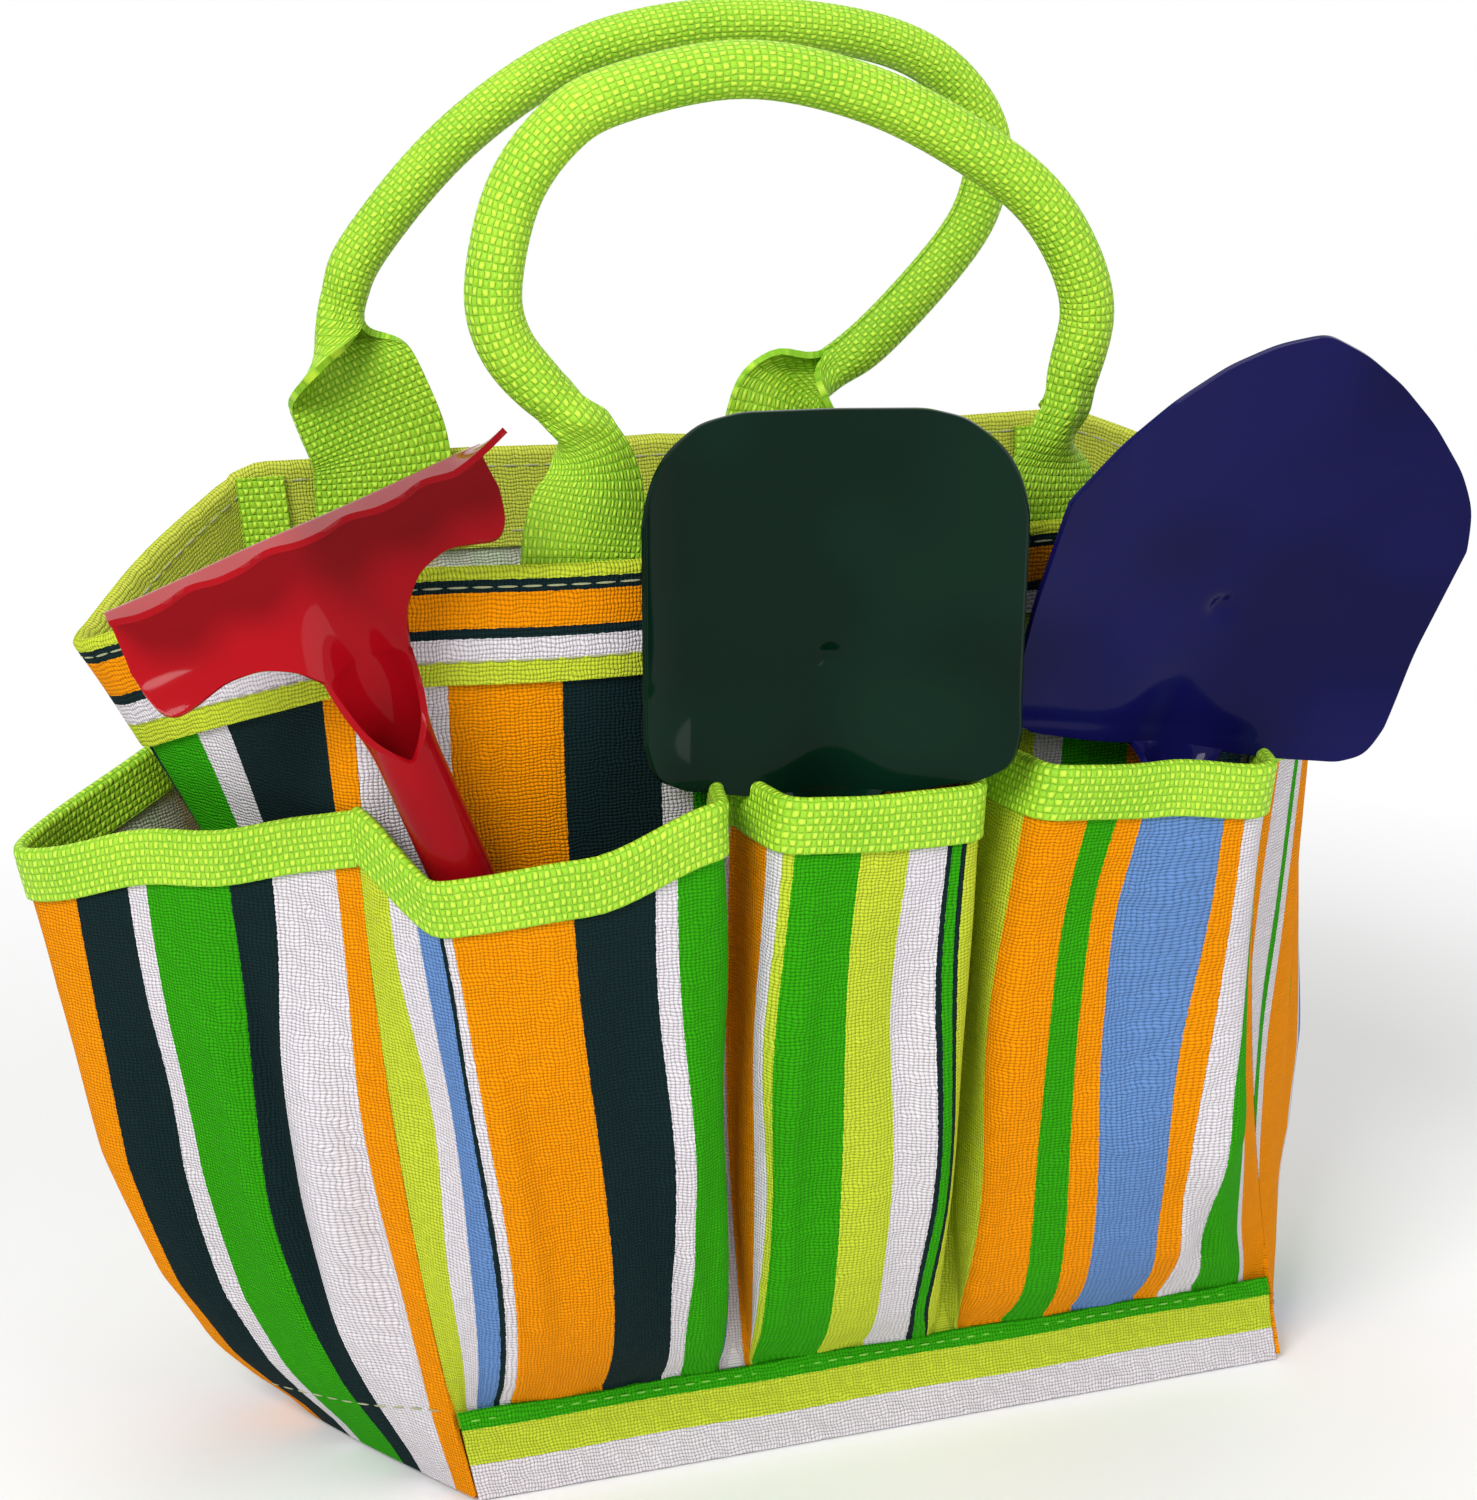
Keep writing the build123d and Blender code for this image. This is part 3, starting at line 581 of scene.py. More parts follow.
class BagClothLooks(bpy.types.PropertyGroup):
    """Cloth and tape of the bag"""
    orange: colour_property("Orange", "Orange stripes", "FF9A00")
    dark: colour_property("Dark", "Blackish green stripes", "14292B")
    white: colour_property("White", "Pale stripes", "ECE6EC")
    green: colour_property("Green", "Green stripes", "33A80A")
    lime: colour_property("Lime", "Lime stripes", "CFE03A")
    blue: colour_property("Blue", "Blue stripes", "6A92CE")
    facing: colour_property("Facing", "Lime facing inside the mouth", "CFD750")
    unprinted: colour_property("Unprinted", "Back of the printed cloth", "D8DCC8")
    card: colour_property("Board", "Board in the base", "6E5F4A")
    warp_pitch: size_property("Row pitch", "Height of one row of the weave", 0.70, 0.3, 4)
    weft_pitch: size_property("Thread pitch", "Width of one thread of the weave", 0.84, 0.3, 4)
    thickness: size_property("Cloth thickness", "Thickness of the cloth", 0.9, 0.3, 2)
    slackness: size_property("Slackness", "How far the soft cloth stands out of true", 0.7, 0, 2)
    stitch_pitch: size_property("Stitch pitch", "From one stitch to the next", 4.6, 1, 12)


class BagWebbingLooks(bpy.types.PropertyGroup):
    """Webbing of the handles and of the pocket mouths"""
    # painted highlight and painted shade: the webbing's green lit on its beads and shaded between them
    light: colour_property("Light", "Raised beads of the webbing", "D2FA46")
    deep: colour_property("Deep", "Between the beads", "60AE02")
    cord: colour_property("Cord", "Cord inside the handles", "DCD6C2")
    bead_width: size_property("Bead width", "Width of one bead", 1.1, 0.3, 4)
    bead_length: size_property("Bead length", "Length of one bead", 1.45, 0.3, 4)
    width: size_property("Webbing width", "Flat width of the handles' webbing", 30, 15, 50)
    thickness: size_property("Webbing thickness", "Thickness of the webbing", 1.5, 0.5, 3)


class BagToolLooks(bpy.types.PropertyGroup):
    """Enamel and wood of the tools"""
    rake: colour_property("Rake", "Enamel of the rake", "A40A16")
    spade: colour_property("Spade", "Enamel of the spade", "08261A")
    trowel: colour_property("Trowel", "Enamel of the trowel", "11114C")
    wood: colour_property("Wood", "Turned grips", "C8996A")
    paint_roughness: FloatProperty(
        name="Paint roughness", description="Roughness of the enamel", default=0.08, min=0.02, max=1)


class BagStageLooks(bpy.types.PropertyGroup):
    """Floor, light and camera"""
    floor: colour_property("Floor", "Pale floor", "F4F4F4")
    key: power_property("Key light", "Power of the main light", 12.5)
    fill: power_property("Fill light", "Power of the second light", 5.0)
    sky: FloatProperty(
        name="Sky", description="Strength of the light from all round", default=0.40, min=0, max=2)


GROUPS = {
    "bag_cloth": BagClothLooks,
    "bag_webbing": BagWebbingLooks,
    "bag_tools": BagToolLooks,
    "bag_stage": BagStageLooks,
}


STRIPE_COLOURS = {
    name[0]: name for name in ("orange", "dark", "white", "green", "lime", "blue", "facing")}


def stripes_of(looks, text):
    """Stripes written as a letter and a width, such as 'o23 d16 w4'."""
    return [(float(word[1:]), tuple(getattr(looks, STRIPE_COLOURS[word[0]]))) for word in text.split()]


# ---- bag body ----
LEVELS = np.linspace(-4, 206, 71)
FOLD_STEPS = 7
FOLD_START = 0.6  # how far below an edge a tape starts to turn over it


def rim_height(skin):
    """Height of the mouth's edge for each column; it droops outside the front corners."""
    x = skin.at(np.full((1, skin.columns), BAG_HEIGHT))[0, :, 0]
    wave = 0.5 * np.sin(skin.across / 27.0 + 1.0) + 0.35 * np.sin(skin.across / 11.0)
    return BAG_HEIGHT - 0.375 * np.maximum(-110.0 - x, 0) - 0.30 * np.maximum(x - 78.0, 0) + wave


def ring_push(slackness):
    """How far the walls of the bag stand out of true."""
    def push(skin, z):
        s = skin.across[None, :] + 0 * z
        marks = skin.across[skin.marks]
        left, right, crease = marks[FRONT_LEFT], marks[FRONT_RIGHT], marks[RIGHT_CREASE]
        total = ripples(s, z * 0.45, 11, 52, slackness * 1.2) * smooth_step(z, 18, 60)
        total += ridge(s, z, (225, 186), (232, 120), 5, -0.8 * slackness)
        total += ridge(s, z, (150, 170), (176, 96), 6, slackness)
        front = smooth_step(s, left, left + 12) * (1 - smooth_step(s, right - 12, right))
        gusset = np.clip((s - right) / (crease - right), 0, 1)
        billow = 9.0 * np.sin(math.pi * gusset) ** 1.3
        billow *= smooth_step(z, 14, 50) * (1 - smooth_step(z, 140, 186))
        return total + billow - front * 0.75 * slackness * smooth_step(z, 60, 120)
    return push


RING_RADII = [4, 9, 4, 4, 8, 4, 40, 4]
RING_RUNS = [16, 18, 18, 26, 44, 14, 14, 22, 24]


def make_ring():
    """The cloth surface of the walls."""
    return Skin(lambda z: [corner(name, z) for name in RING], RING_RADII, RING_RUNS, LEVELS, 150.0)


def wall_piece(name, first, last, from_end, looks):
    """One wall of the bag, from its floor into the fold of the rim band."""
    ring = make_ring()
    bottom, top = 1.2, rim_height(ring) - 1.4
    z = bottom + (top[None, :] - bottom) * np.linspace(0, 1, 60)[:, None]
    points = ring.points(z, -0.5 + ring_push(looks.slackness)(ring, z))
    part = slice(ring.marks[first], ring.marks[last] + 1)
    across = ring.across[part] - ring.across[part][0]
    if from_end:
        across = across[-1] - across
    materials = both_faces(name + "_cloth", name + "_cloth_reverse", looks, STRIPES[name])
    piece = sheet(name + "_cloth", points[:, part], across[None, :], z[:, part], looks.thickness, materials)
    place(piece, "bag", "stripe_canvas", name)


def fold_profile(outer, inner, depth, rows):
    """A strip folded over an edge: offsets, drops and run from its outer lower edge to the inner one."""
    radius = (outer - inner) / 2
    drops = np.linspace(-depth, -FOLD_START, rows)
    turn = np.linspace(0, math.pi, FOLD_STEPS)[1:-1]
    bend = (outer + inner) / 2 + radius * np.cos(turn)
    offsets = np.concatenate([np.full(rows, outer), bend, np.full(rows, inner)])
    heights = np.concatenate([drops, radius * np.sin(turn) - FOLD_START, drops[::-1]])
    return offsets, heights, running_length(np.stack([offsets, heights], axis=1))


def folded_points(skin, top, push, profile):
    """Points of a tape folded over the upper edge of a cloth surface."""
    offsets, drops, _ = profile
    z = top[None, :] + drops[:, None]
    return skin.points(z, offsets[:, None] + push(skin, np.minimum(z, top[None, :])))


# ---- pockets ----
# where each pocket's two folds stand, as shares of the row's width at its foot and at its mouth
FRONT_FOLDS = [((0.048, 0.300), (0.036, 0.345)), ((0.345, 0.560), (0.414, 0.628)),
               ((0.600, 0.940), (0.700, 0.955))]
BACK_FOLDS = [(folds, folds) for folds in ((0.050, 0.310), (0.360, 0.640), (0.690, 0.950))]
# how far each fold bows to the right half way up
FRONT_BENDS = [(0.016, 0.012), (-0.004, 0.004), (-0.006, -0.012)]
BACK_BENDS = [(0.004, -0.004), (0.004, 0.006), (-0.006, -0.004)]
SEAM_SHARE = 0.026  # between two pockets' folds, where they are sewn to the wall
END_TUCK = (0.005, -0.85)  # how far past the wall's corners, and into them, a row's ends go
CROWN = 2.0  # how far the middle of a pocket stands in front of its folds


def row_path(left, right, folds, bends, bulge, mouth, outward):
    """Plan path of a row of bellows pockets, as (fold, face, fold) and then back to the wall."""

    def path(z):
        rise = min(max((z - POCKET_BOTTOM) / (mouth - POCKET_BOTTOM), 0.0), 1.2)
        fill = 1 - math.exp(-rise / 0.16)
        start, end = corner(left, z), corner(right, z)
        sewn = 0.6 + 1.15 * smooth_step(z, 20.0, 34.0)
        bow = corner("back_middle", z)[1] - (start[1] + end[1]) / 2 if outward > 0 else 0.0

        def at(share, out):
            x, y = start + (end - start) * share
            return (x, y + bow * (1 - abs(2 * share - 1)) + outward * (sewn + out))

        points = [at(-END_TUCK[0], END_TUCK[1])]
        wave = 4 * rise * (1 - min(rise, 1.0))
        ends = [tuple(low[k] + (high[k] - low[k]) * rise + bows[k] * wave for k in (0, 1))
                for (low, high), bows in zip(folds, bends)]
        for i, (a, b) in enumerate(ends):
            points += [at(a, bulge * fill), at((a + b) / 2, (bulge + CROWN) * fill), at(b, bulge * fill)]
            if i < len(ends) - 1:
                seam = (b + ends[i + 1][0]) / 2
                points += [at(seam - SEAM_SHARE / 2, 0.0), at(seam + SEAM_SHARE / 2, 0.0)]
        points.append(at(1 + END_TUCK[0], END_TUCK[1]))
        return points if outward < 0 else points[::-1]

    return path


ROW_RADII = [4, 30, 4, 2.5, 2.5, 4, 30, 4, 2.5, 2.5, 4, 30, 4]
ROW_RUNS = [9, 12, 12, 9, 4, 9, 10, 10, 9, 4, 9, 12, 12, 9]


def pocket_row(front):
    """The cloth surface of the front or the back row."""
    if front:
        path = row_path("front_left", "front_right", FRONT_FOLDS, FRONT_BENDS, 19.0, FRONT_MOUTH, -1)
        return Skin(path, ROW_RADII, ROW_RUNS, np.linspace(14, 158, 49), 145.0)
    path = row_path("back_left", "back_right", BACK_FOLDS, BACK_BENDS, 8.5, BACK_MOUTH, 1)
    return Skin(path, ROW_RADII, ROW_RUNS, np.linspace(14, 150, 46), 136.0)


# soft folds, each from one point to another: a point of the row's path, the distance past it and the
# height, twice over, and then the fold's width and how far it stands out for a slackness of 1
FRONT_CREASES = [
    (2, 4, 128, 2, 12, 34, 5.5, -2.4), (1, 5, 112, 1, 9, 40, 3.5, 2.4), (3, -7, 134, 3, -9, 60, 4.5, 2.2),
    (6, 5, 134, 6, 3, 34, 3, 2.0), (7, 6, 130, 7, 8, 34, 4, -2.2), (8, -6, 120, 8, -4, 44, 3.5, 2.0),
    (11, 14, 142, 11, 22, 70, 6, -2.4), (12, -9, 120, 12, 3, 58, 5, 2.8), (12, 22, 76, 12, 8, 28, 4.5, 3.2),
    (12, 14, 60, 13, -5, 30, 3.5, -2.6), (3, -12, 66, 3, -3, 24, 3.5, 2.6),
]
BACK_CREASES = [(k, 6, 120, k, 10, 34, 4.5, height) for k, height in ((1, 2.0), (7, -2.0), (11, 2.2))]
ROW_SEAMS = (0, 4, 5, 9, 10, 14)  # points of the row's path that are sewn to the wall


def row_push(front, slackness):
    """Soft folds of a row of pockets."""
    seed, length, height, creases, strength = (
        (5, 34, 1.1, FRONT_CREASES, 1.3) if front else (9, 36, 1.3, BACK_CREASES, 1.0))

    def push(skin, z):
        s = skin.across[None, :] + 0 * z
        marks = skin.across[skin.marks]
        total = ripples(s, z * 0.4, seed, length, height * slackness)
        for i, past_i, z_i, j, past_j, z_j, width, stand in creases:
            start, end = (marks[i] + past_i, z_i), (marks[j] + past_j, z_j)
            total += ridge(s, z, start, end, width, stand * slackness)
        total *= strength * smooth_step(z, 22, 42)
        if front:
            gathers = np.sin(s / 2.3 + 2.0 * np.sin(s / 9.0)) * np.exp(-np.maximum(z - 22, 0) / 8.0)
            total += 0.8 * slackness * gathers * smooth_step(z, 20, 24)
        for k in ROW_SEAMS:
            total *= smooth_step(np.abs(s - marks[k]), 0.5, 7.0)
        return total

    return push


# height of the mouth at each point of the row: end, fold, face, fold, seam, seam, ...
FRONT_EDGE = [152, 142.5, 145, 152.5, 152, 152, 152, 151.5, 150.5, 152.5, 152.5, 153, 151.5, 148.8, 147.5]
BACK_EDGE = [140, 139, 138.5, 139.5, 141, 141, 139.5, 138.5, 139, 141, 141, 139, 138, 139, 140]


def side_path(front, back, heights, tips, fullness, outward):
    """Plan path of a side pocket that billows out in the middle."""

    def path(z):
        tip = float(np.interp(z, heights, tips))
        a, b = corner(front, z), corner(back, z)
        ends = [(a[0] + outward * 1.1, a[1] - 0.8), (b[0] + outward * 1.1, b[1] + 1.6)]
        shoulders = [(x * (1 - fullness) + tip * fullness + outward * 2.0, y * (1.16 * fullness - 0.22))
                     for x, y in ends]
        points = [ends[0], shoulders[0], (tip, 0.0), shoulders[1], ends[1]]
        return points if outward > 0 else points[::-1]

    return path


# heights, and how far out a side pocket reaches at each
LEFT_TIPS = ([0, 6, 12, 20, 37, 66, 103, 131, 160],
             [-119.5, -125, -132, -140, -150, -159.5, -167, -171.5, -174])
RIGHT_TIPS = ([0, 8, 15, 28, 45, 63, 85, 110, 160],
              [94.5, 95.5, 101, 108, 112, 112.5, 110.5, 109.5, 111])


SIDE_RADII = [26, 9, 26]
SIDE_RUNS = [30, 20, 20, 30]


def side_skin(left):
    """The cloth surface of a side pocket."""
    if left:
        path = side_path("front_left", "back_left", *LEFT_TIPS, 0.55, -1)
    else:
        path = side_path("front_right", "back_right", *RIGHT_TIPS, 0.69, 1)
    return Skin(path, SIDE_RADII, SIDE_RUNS, np.linspace(0, 160, 54), 125.0)


def side_edge(skin):
    """Height of a side pocket's mouth for each column."""
    x = skin.at(np.full((1, skin.columns), 140.0))[0, :, 0]
    wave = 0.8 * np.sin(skin.across / 13.0) + 0.5 * np.sin(skin.across / 5.5 + 1)
    wave *= smooth_step(np.minimum(skin.across, skin.across[-1] - skin.across), 2, 14)
    return SIDE_MOUTH + 0.5 - 0.31 * np.maximum(-109.0 - x, 0) - 0.20 * np.maximum(x - 76.0, 0) + wave


# soft folds from (distance, height) to (distance, height), then width and how far each stands out
CREASES_FROM_START = [((34, 120), (24, 30), 6, -2.2), ((54, 126), (50, 46), 7, 2.0)]
CREASES_FROM_END = [((27, 122), (29, 26), 3.6, -3.4), ((38, 118), (37, 40), 6, 2.6),
                    ((15, 112), (20, 44), 5.5, 2.4), ((9, 96), (9, 30), 2.6, -1.5),
                    ((58, 108), (52, 24), 6, -2.0)]
SEEDS = {True: 21, False: 22}  # of the left and the right pocket's ripples


def side_push(left, slackness):
    """Soft folds of a side pocket."""
    def push(skin, z):
        s = skin.across[None, :] + 0 * z
        e = skin.across[-1] - s
        total = ripples(s, z * 0.35, SEEDS[left], 40, 1.4 * slackness)
        for distance, creases in ((e, CREASES_FROM_END), (s, CREASES_FROM_START)):
            for start, end, width, stand in creases:
                total += ridge(distance, z, start, end, width, stand * slackness)
        return 1.25 * total * smooth_step(np.minimum(s, e), 1, 12) * smooth_step(z, 8, 36)
    return push


STRIPES = {
    "front_panel": "w16.9 o21 d19.2 w5.8 g16 w5 b12 w4 o19 d2 l13 w6 g14 o9 w8 b10 w13",
    "left_gusset": "o5.5 d24.1 w9.2 g15.4 d6.8 w7 o2.4 w3.5 l14 w4 o19 w4 g9 b13 w6 d9 w5 o6",
    "right_gusset": "b5 o8 w9 d0.8 g4 d0.8 w9 o13 l8 w5 g11 w4 b14 o10 w9 d10 w6 g8",
    "back_panel": "o12 w6 g18 d12 w5 b13 w4 l16 o21 w6 d14 g9 w7 o16 l10 w8 b12 w9",
    "front_pockets": "l9 w5.5 b5 w0.6 d1.4 w1.5 o23.3 d16.2 w3.9 g14.5 b6 w10.6 o14.1 w3.8 l2.3 g13.3 l9.9 "
                     "w8.3 d0.9 g2.5 d0.9 l39 o12.4 g6 o4.7 b11.5 o4 w6 g11 w2.5 o12",
    "back_pockets": "w9 o20 d14 w5 g13 l8 w11 b12 o16 w6 d10 l18 g9 w9 o18 w5 b14 g10 w8 d9 o16",
    "left_pocket": "o6.4 w13.3 d7.6 g19 w4.2 d13 o15.5 w6 b9 w4 l12 g8 w6 o10 w7.4",
    "right_pocket": "b8 o5 w9 g2.5 w3 o18 g4 o11 w4 b13 w6 g12 l9 w8 o16 d10 w6 b10",
    "rim_band": "l4.5 w4.3 d1.8 o6.8 d2.4 l2.4 f22",
    "base_cloth": "g3.3 l9.7 w9.2 o14 w6 g12 l16 w8 b12 o14 w7 g9 w6 o13 w9 l9.7 g3.3",
}


def body_walls(looks):
    """The four walls, each between two points of the ring; the left gusset's stripes start at its end."""
    for name, first, last, from_end in (
            ("front_panel", FRONT_LEFT, FRONT_RIGHT, False), ("left_gusset", BACK_LEFT, FRONT_LEFT, True),
            ("right_gusset", FRONT_RIGHT, BACK_RIGHT, False), ("back_panel", BACK_RIGHT, LEFT_AGAIN, False)):
        wall_piece(name, first, last, from_end, looks)


def rim_columns(ring):
    """Columns once round the rim from the middle of the back, the run along them, and their lap.

    The lap is how far the strip's end is spread, so that it folds over the strip's start.
    """
    start = np.arange(ring.marks[MIDDLE_AGAIN], ring.marks[LEFT_AGAIN])
    rest = np.arange(ring.marks[BACK_LEFT], ring.marks[MIDDLE_AGAIN] + 2)
    once_round = ring.across[ring.marks[LEFT_AGAIN]] - ring.across[ring.marks[BACK_LEFT]]
    across = np.concatenate([ring.across[start] - once_round, ring.across[rest]])
    end = ring.across[ring.marks[MIDDLE_AGAIN]]
    return np.concatenate([start, rest]), across, 1.1 * smooth_step(across, end - 10, end - 3)


def rim_strip(looks):
    """The striped band folded over the mouth."""
    ring = make_ring()
    part, across, lap = rim_columns(ring)
    outer, inner = 0.72, -1.72
    profile = fold_profile(outer, inner, RIM_BAND, 16)
    whole = folded_points(ring, rim_height(ring) - 0.1, ring_push(looks.slackness), profile)
    points = whole[:, part]
    side = np.clip((2 * profile[0] - outer - inner) / (outer - inner), -1, 1)[:, None] * lap
    points[..., :2] += ring.outward(whole[..., 2])[:, part] * side[..., None]
    points[..., 2] += lap
    printed = canvas("rim_canvas", stripes_of(looks, STRIPES["rim_band"]), looks)
    piece = sheet("rim_strip", points, profile[2][:, None], across[None, :], RIM_THICKNESS, [printed])
    place(piece, "bag", "rim_canvas", "rim_band")


def level_line(side, z, f):
    """A line between the lower corners of the front, side -1, or of the back, side 1, at shares f."""
    left, right = (("front_left", "front_right") if side < 0 else ("back_left", "back_right"))
    a, b = corner(left, z), corner(right, z)
    bow = (corner("back_middle", z)[1] - a[1]) * (1 - np.abs(2 * f - 1)) if side > 0 else 0 * f
    return a, b, a[1] + (b[1] - a[1]) * f + bow


def base_floor(looks):
    """The floor's cloth, turned up over the lower edges of the front and back."""
    columns = 110
    f = np.linspace(0, 1, columns)
    heights = np.concatenate([np.linspace(BASE_BAND, 2.2, 16), [1.3, 0.75]])

    def skirt(z, side):
        a, b, y = level_line(side, z, f)
        out = 0.55 + 1.25 * smooth_step(z, 11.0, 20.0)
        drift = 0.3 * np.sin(f * 21) * smooth_step(z, 2, 8) * (z < 21)
        x = a[0] - 0.4 + (b[0] - a[0] + 0.8) * f
        return points_at(x, y + side * (out + drift), z + 0.25 * np.sin(f * 33) * (z > 20))

    rows = [skirt(z, -1) for z in heights]
    for y in np.linspace(-46.9, 46.9, 50):
        reach = 1 - abs(y) / 47.5
        left = -89.9 - (16.0 + LEFT_SAG) * (1.04 - math.hypot(1 - reach, 0.2) * 1.02)
        right = 90.0 + 2.0 * reach
        rows.append(points_at(left + (right - left) * f, y, 0.5))
    rows += [skirt(z, 1) for z in heights[::-1]]
    points = np.array(rows)
    run = running_length(points[:, columns // 2])
    across = np.linspace(0, 180, columns)
    materials = both_faces("base_canvas", "base_canvas_reverse", looks, STRIPES["base_cloth"])
    # rows run from the top of the front down and under, so outside is to the left of them
    piece = sheet("base_floor", points[:, ::-1], run[:, None], across[None, ::-1], TAPE_THICKNESS, materials)
    place(piece, "bag", "base_canvas", "base_cloth")


def pocket_cloth(name, skin, top, bottom, push, looks, from_end=False):
    """A pocket's printed cloth; its stripes lean where the cloth is pulled askew."""
    z = bottom + (top - 0.9 - bottom)[None, :] * np.linspace(0, 1, 64)[:, None]
    points = skin.points(z, push(skin, z))
    last = skin.across[-1]
    across = last - skin.across if from_end else skin.across
    across = across + ripples(skin.across[None, :], z * 0.8, 31, 62, 0.75)
    if name == "left_pocket":
        across -= 6.2 * smooth_step(across, 3, 26) * np.sin(math.pi * np.clip(z / 138.0, 0, 1) ** 0.7) ** 1.5
    if name == "right_pocket":
        across += 40 * np.clip(1 - z / 150.0, 0, 1)
    if name == "front_pockets":
        across -= 7.5 * smooth_step(across, last - 47, last - 27) * smooth_step(z, 45, 128)
    materials = both_faces(name + "_canvas", name + "_reverse", looks, STRIPES[name])
    place(sheet(name + "_cloth", points, across, z, looks.thickness, materials), "bag", "stripe_canvas", name)


def pocket_tape(name, skin, top, push, tape):
    """Webbing folded over a pocket's mouth."""
    profile = fold_profile(1.0, -1.0, TAPE_WIDTH, 8)
    points = folded_points(skin, top, push, profile)
    piece = sheet(name + "_tape", points, skin.across[None, :], profile[2][:, None], TAPE_THICKNESS, [tape])
    place(piece, "bag", "pocket_tape", name + "_binding")


def rows_of_pockets(looks, tape, front):
    """The front or the back row of pockets, with its bound mouth."""
    skin = pocket_row(front)
    top = at_marks(skin, FRONT_EDGE if front else BACK_EDGE[::-1])
    push = row_push(front, looks.slackness)
    name = "front_pocket" if front else "back_pocket"
    pocket_cloth(name + "s", skin, top, 17.5, push, looks)
    pocket_tape(name, skin, top, push, tape)


def side_pockets(looks, tape):
    """The pockets at the ends, with their bound mouths."""
    for left in (True, False):
        name = "left_pocket" if left else "right_pocket"
        skin = side_skin(left)
        top = side_edge(skin)
        push = side_push(left, looks.slackness)
        pocket_cloth(name, skin, top, 1.6, push, looks, from_end=left)
        pocket_tape(name, skin, top, push, tape)


def seam_tapes(tape):
    """Tape over the seams inside the four corners."""
    heights = np.linspace(3.4, 193.5, 80)
    run = np.linspace(0, TAPE_WIDTH, 9)
    for index, toward in (("front_left", "front_right"), ("front_right", "front_left"),
                          ("back_left", "back_middle"), ("back_right", "back_middle")):
        rows = []
        for z in heights:
            start, end = corner(index, z), corner(toward, z)
            way = (end - start) / np.linalg.norm(end - start)
            inward = np.array([-way[1], way[0]])
            inward *= np.sign(inward[1]) * (1 if index.startswith("front") else -1)
            depth = 3.0 + 0.25 * math.sin(z / 9.0)
            rows.append([(*(start + way * c + inward * (depth + 0.35 * math.sin(z / 15 + c / 5))), z)
                         for c in run + 1.5])
        points = np.array(rows)
        # columns run to the right as seen from outside the sheet's face
        grid = points[:, ::-1] if index.endswith("left") else points
        piece = sheet("tape_" + index, grid, run[None, :], heights[:, None], TAPE_THICKNESS, [tape])
        place(piece, "bag", "binding_tape", "seam_binding_" + index)


# ---- handles ----
# each handle's middle line, as x and height
FRONT_LINE = [(-66, 176.6), (-66, 186), (-65.6, 197.35), (-63, 212), (-68.5, 223), (-73.5, 228), (-79.3, 236),
              (-81, 246), (-77, 262), (-68.5, 273), (-58, 278.6), (-35, 282.5), (-12, 278), (8, 268.5),
              (25, 256), (34.5, 238), (31.5, 222), (28.5, 206), (28, 197.35), (28, 186), (28, 176.6)]
REAR_LINE = [(-84, 176.6), (-84, 186), (-84.3, 197.35), (-88, 208), (-92.5, 221), (-90.5, 231), (-86, 241),
             (-66, 262.5), (-39, 279), (-9, 284.5), (21, 282), (41, 274.5), (53, 260), (52, 245), (43.5, 232),
             (25, 214), (11, 206), (7, 197.35), (7, 186), (7, 176.6)]
# around the cord, the webbing is rolled to this radius and leaves a slit where its edges are sewn
ROLL_RADIUS = 4.35
ROLL_ANGLE = 2 * math.pi * 0.985
SLIT_TURN = 1.35  # how far the slit is turned from the inner side
CORD_START = 46.0  # along a handle, from either end


def smoothed(line, times):
    """A line whose inner points are drawn towards their neighbours."""
    for _ in range(times):
        line[1:-1] = 0.25 * line[:-2] + 0.5 * line[1:-1] + 0.25 * line[2:]
    return line


def smooth_line(points, step):
    """A smooth line through points in the plane, at even steps, and the distance along it."""
    p = np.array(points, float)
    p = np.concatenate([[2 * p[0] - p[1]], p, [2 * p[-1] - p[-2]]])
    out = []
    for before, start, end, after in zip(p, p[1:], p[2:], p[3:]):
        square = 2 * before - 5 * start + 4 * end - after
        cube = 3 * start - before - 3 * end + after
        for t in np.linspace(0, 1, 24, endpoint=False):
            out.append(0.5 * (2 * start + (end - before) * t + square * t * t + cube * t ** 3))
    out = smoothed(np.array([*out, p[-2]]), 30)
    distance = running_length(out)
    even = np.linspace(0, distance[-1], int(distance[-1] / step) + 1)
    return np.stack([np.interp(even, distance, out[:, k]) for k in range(2)], axis=1), even


def directions(line):
    """Unit vectors along a line, at each of its points."""
    tangent = np.gradient(line, axis=0)
    return tangent / np.linalg.norm(tangent, axis=1, keepdims=True)


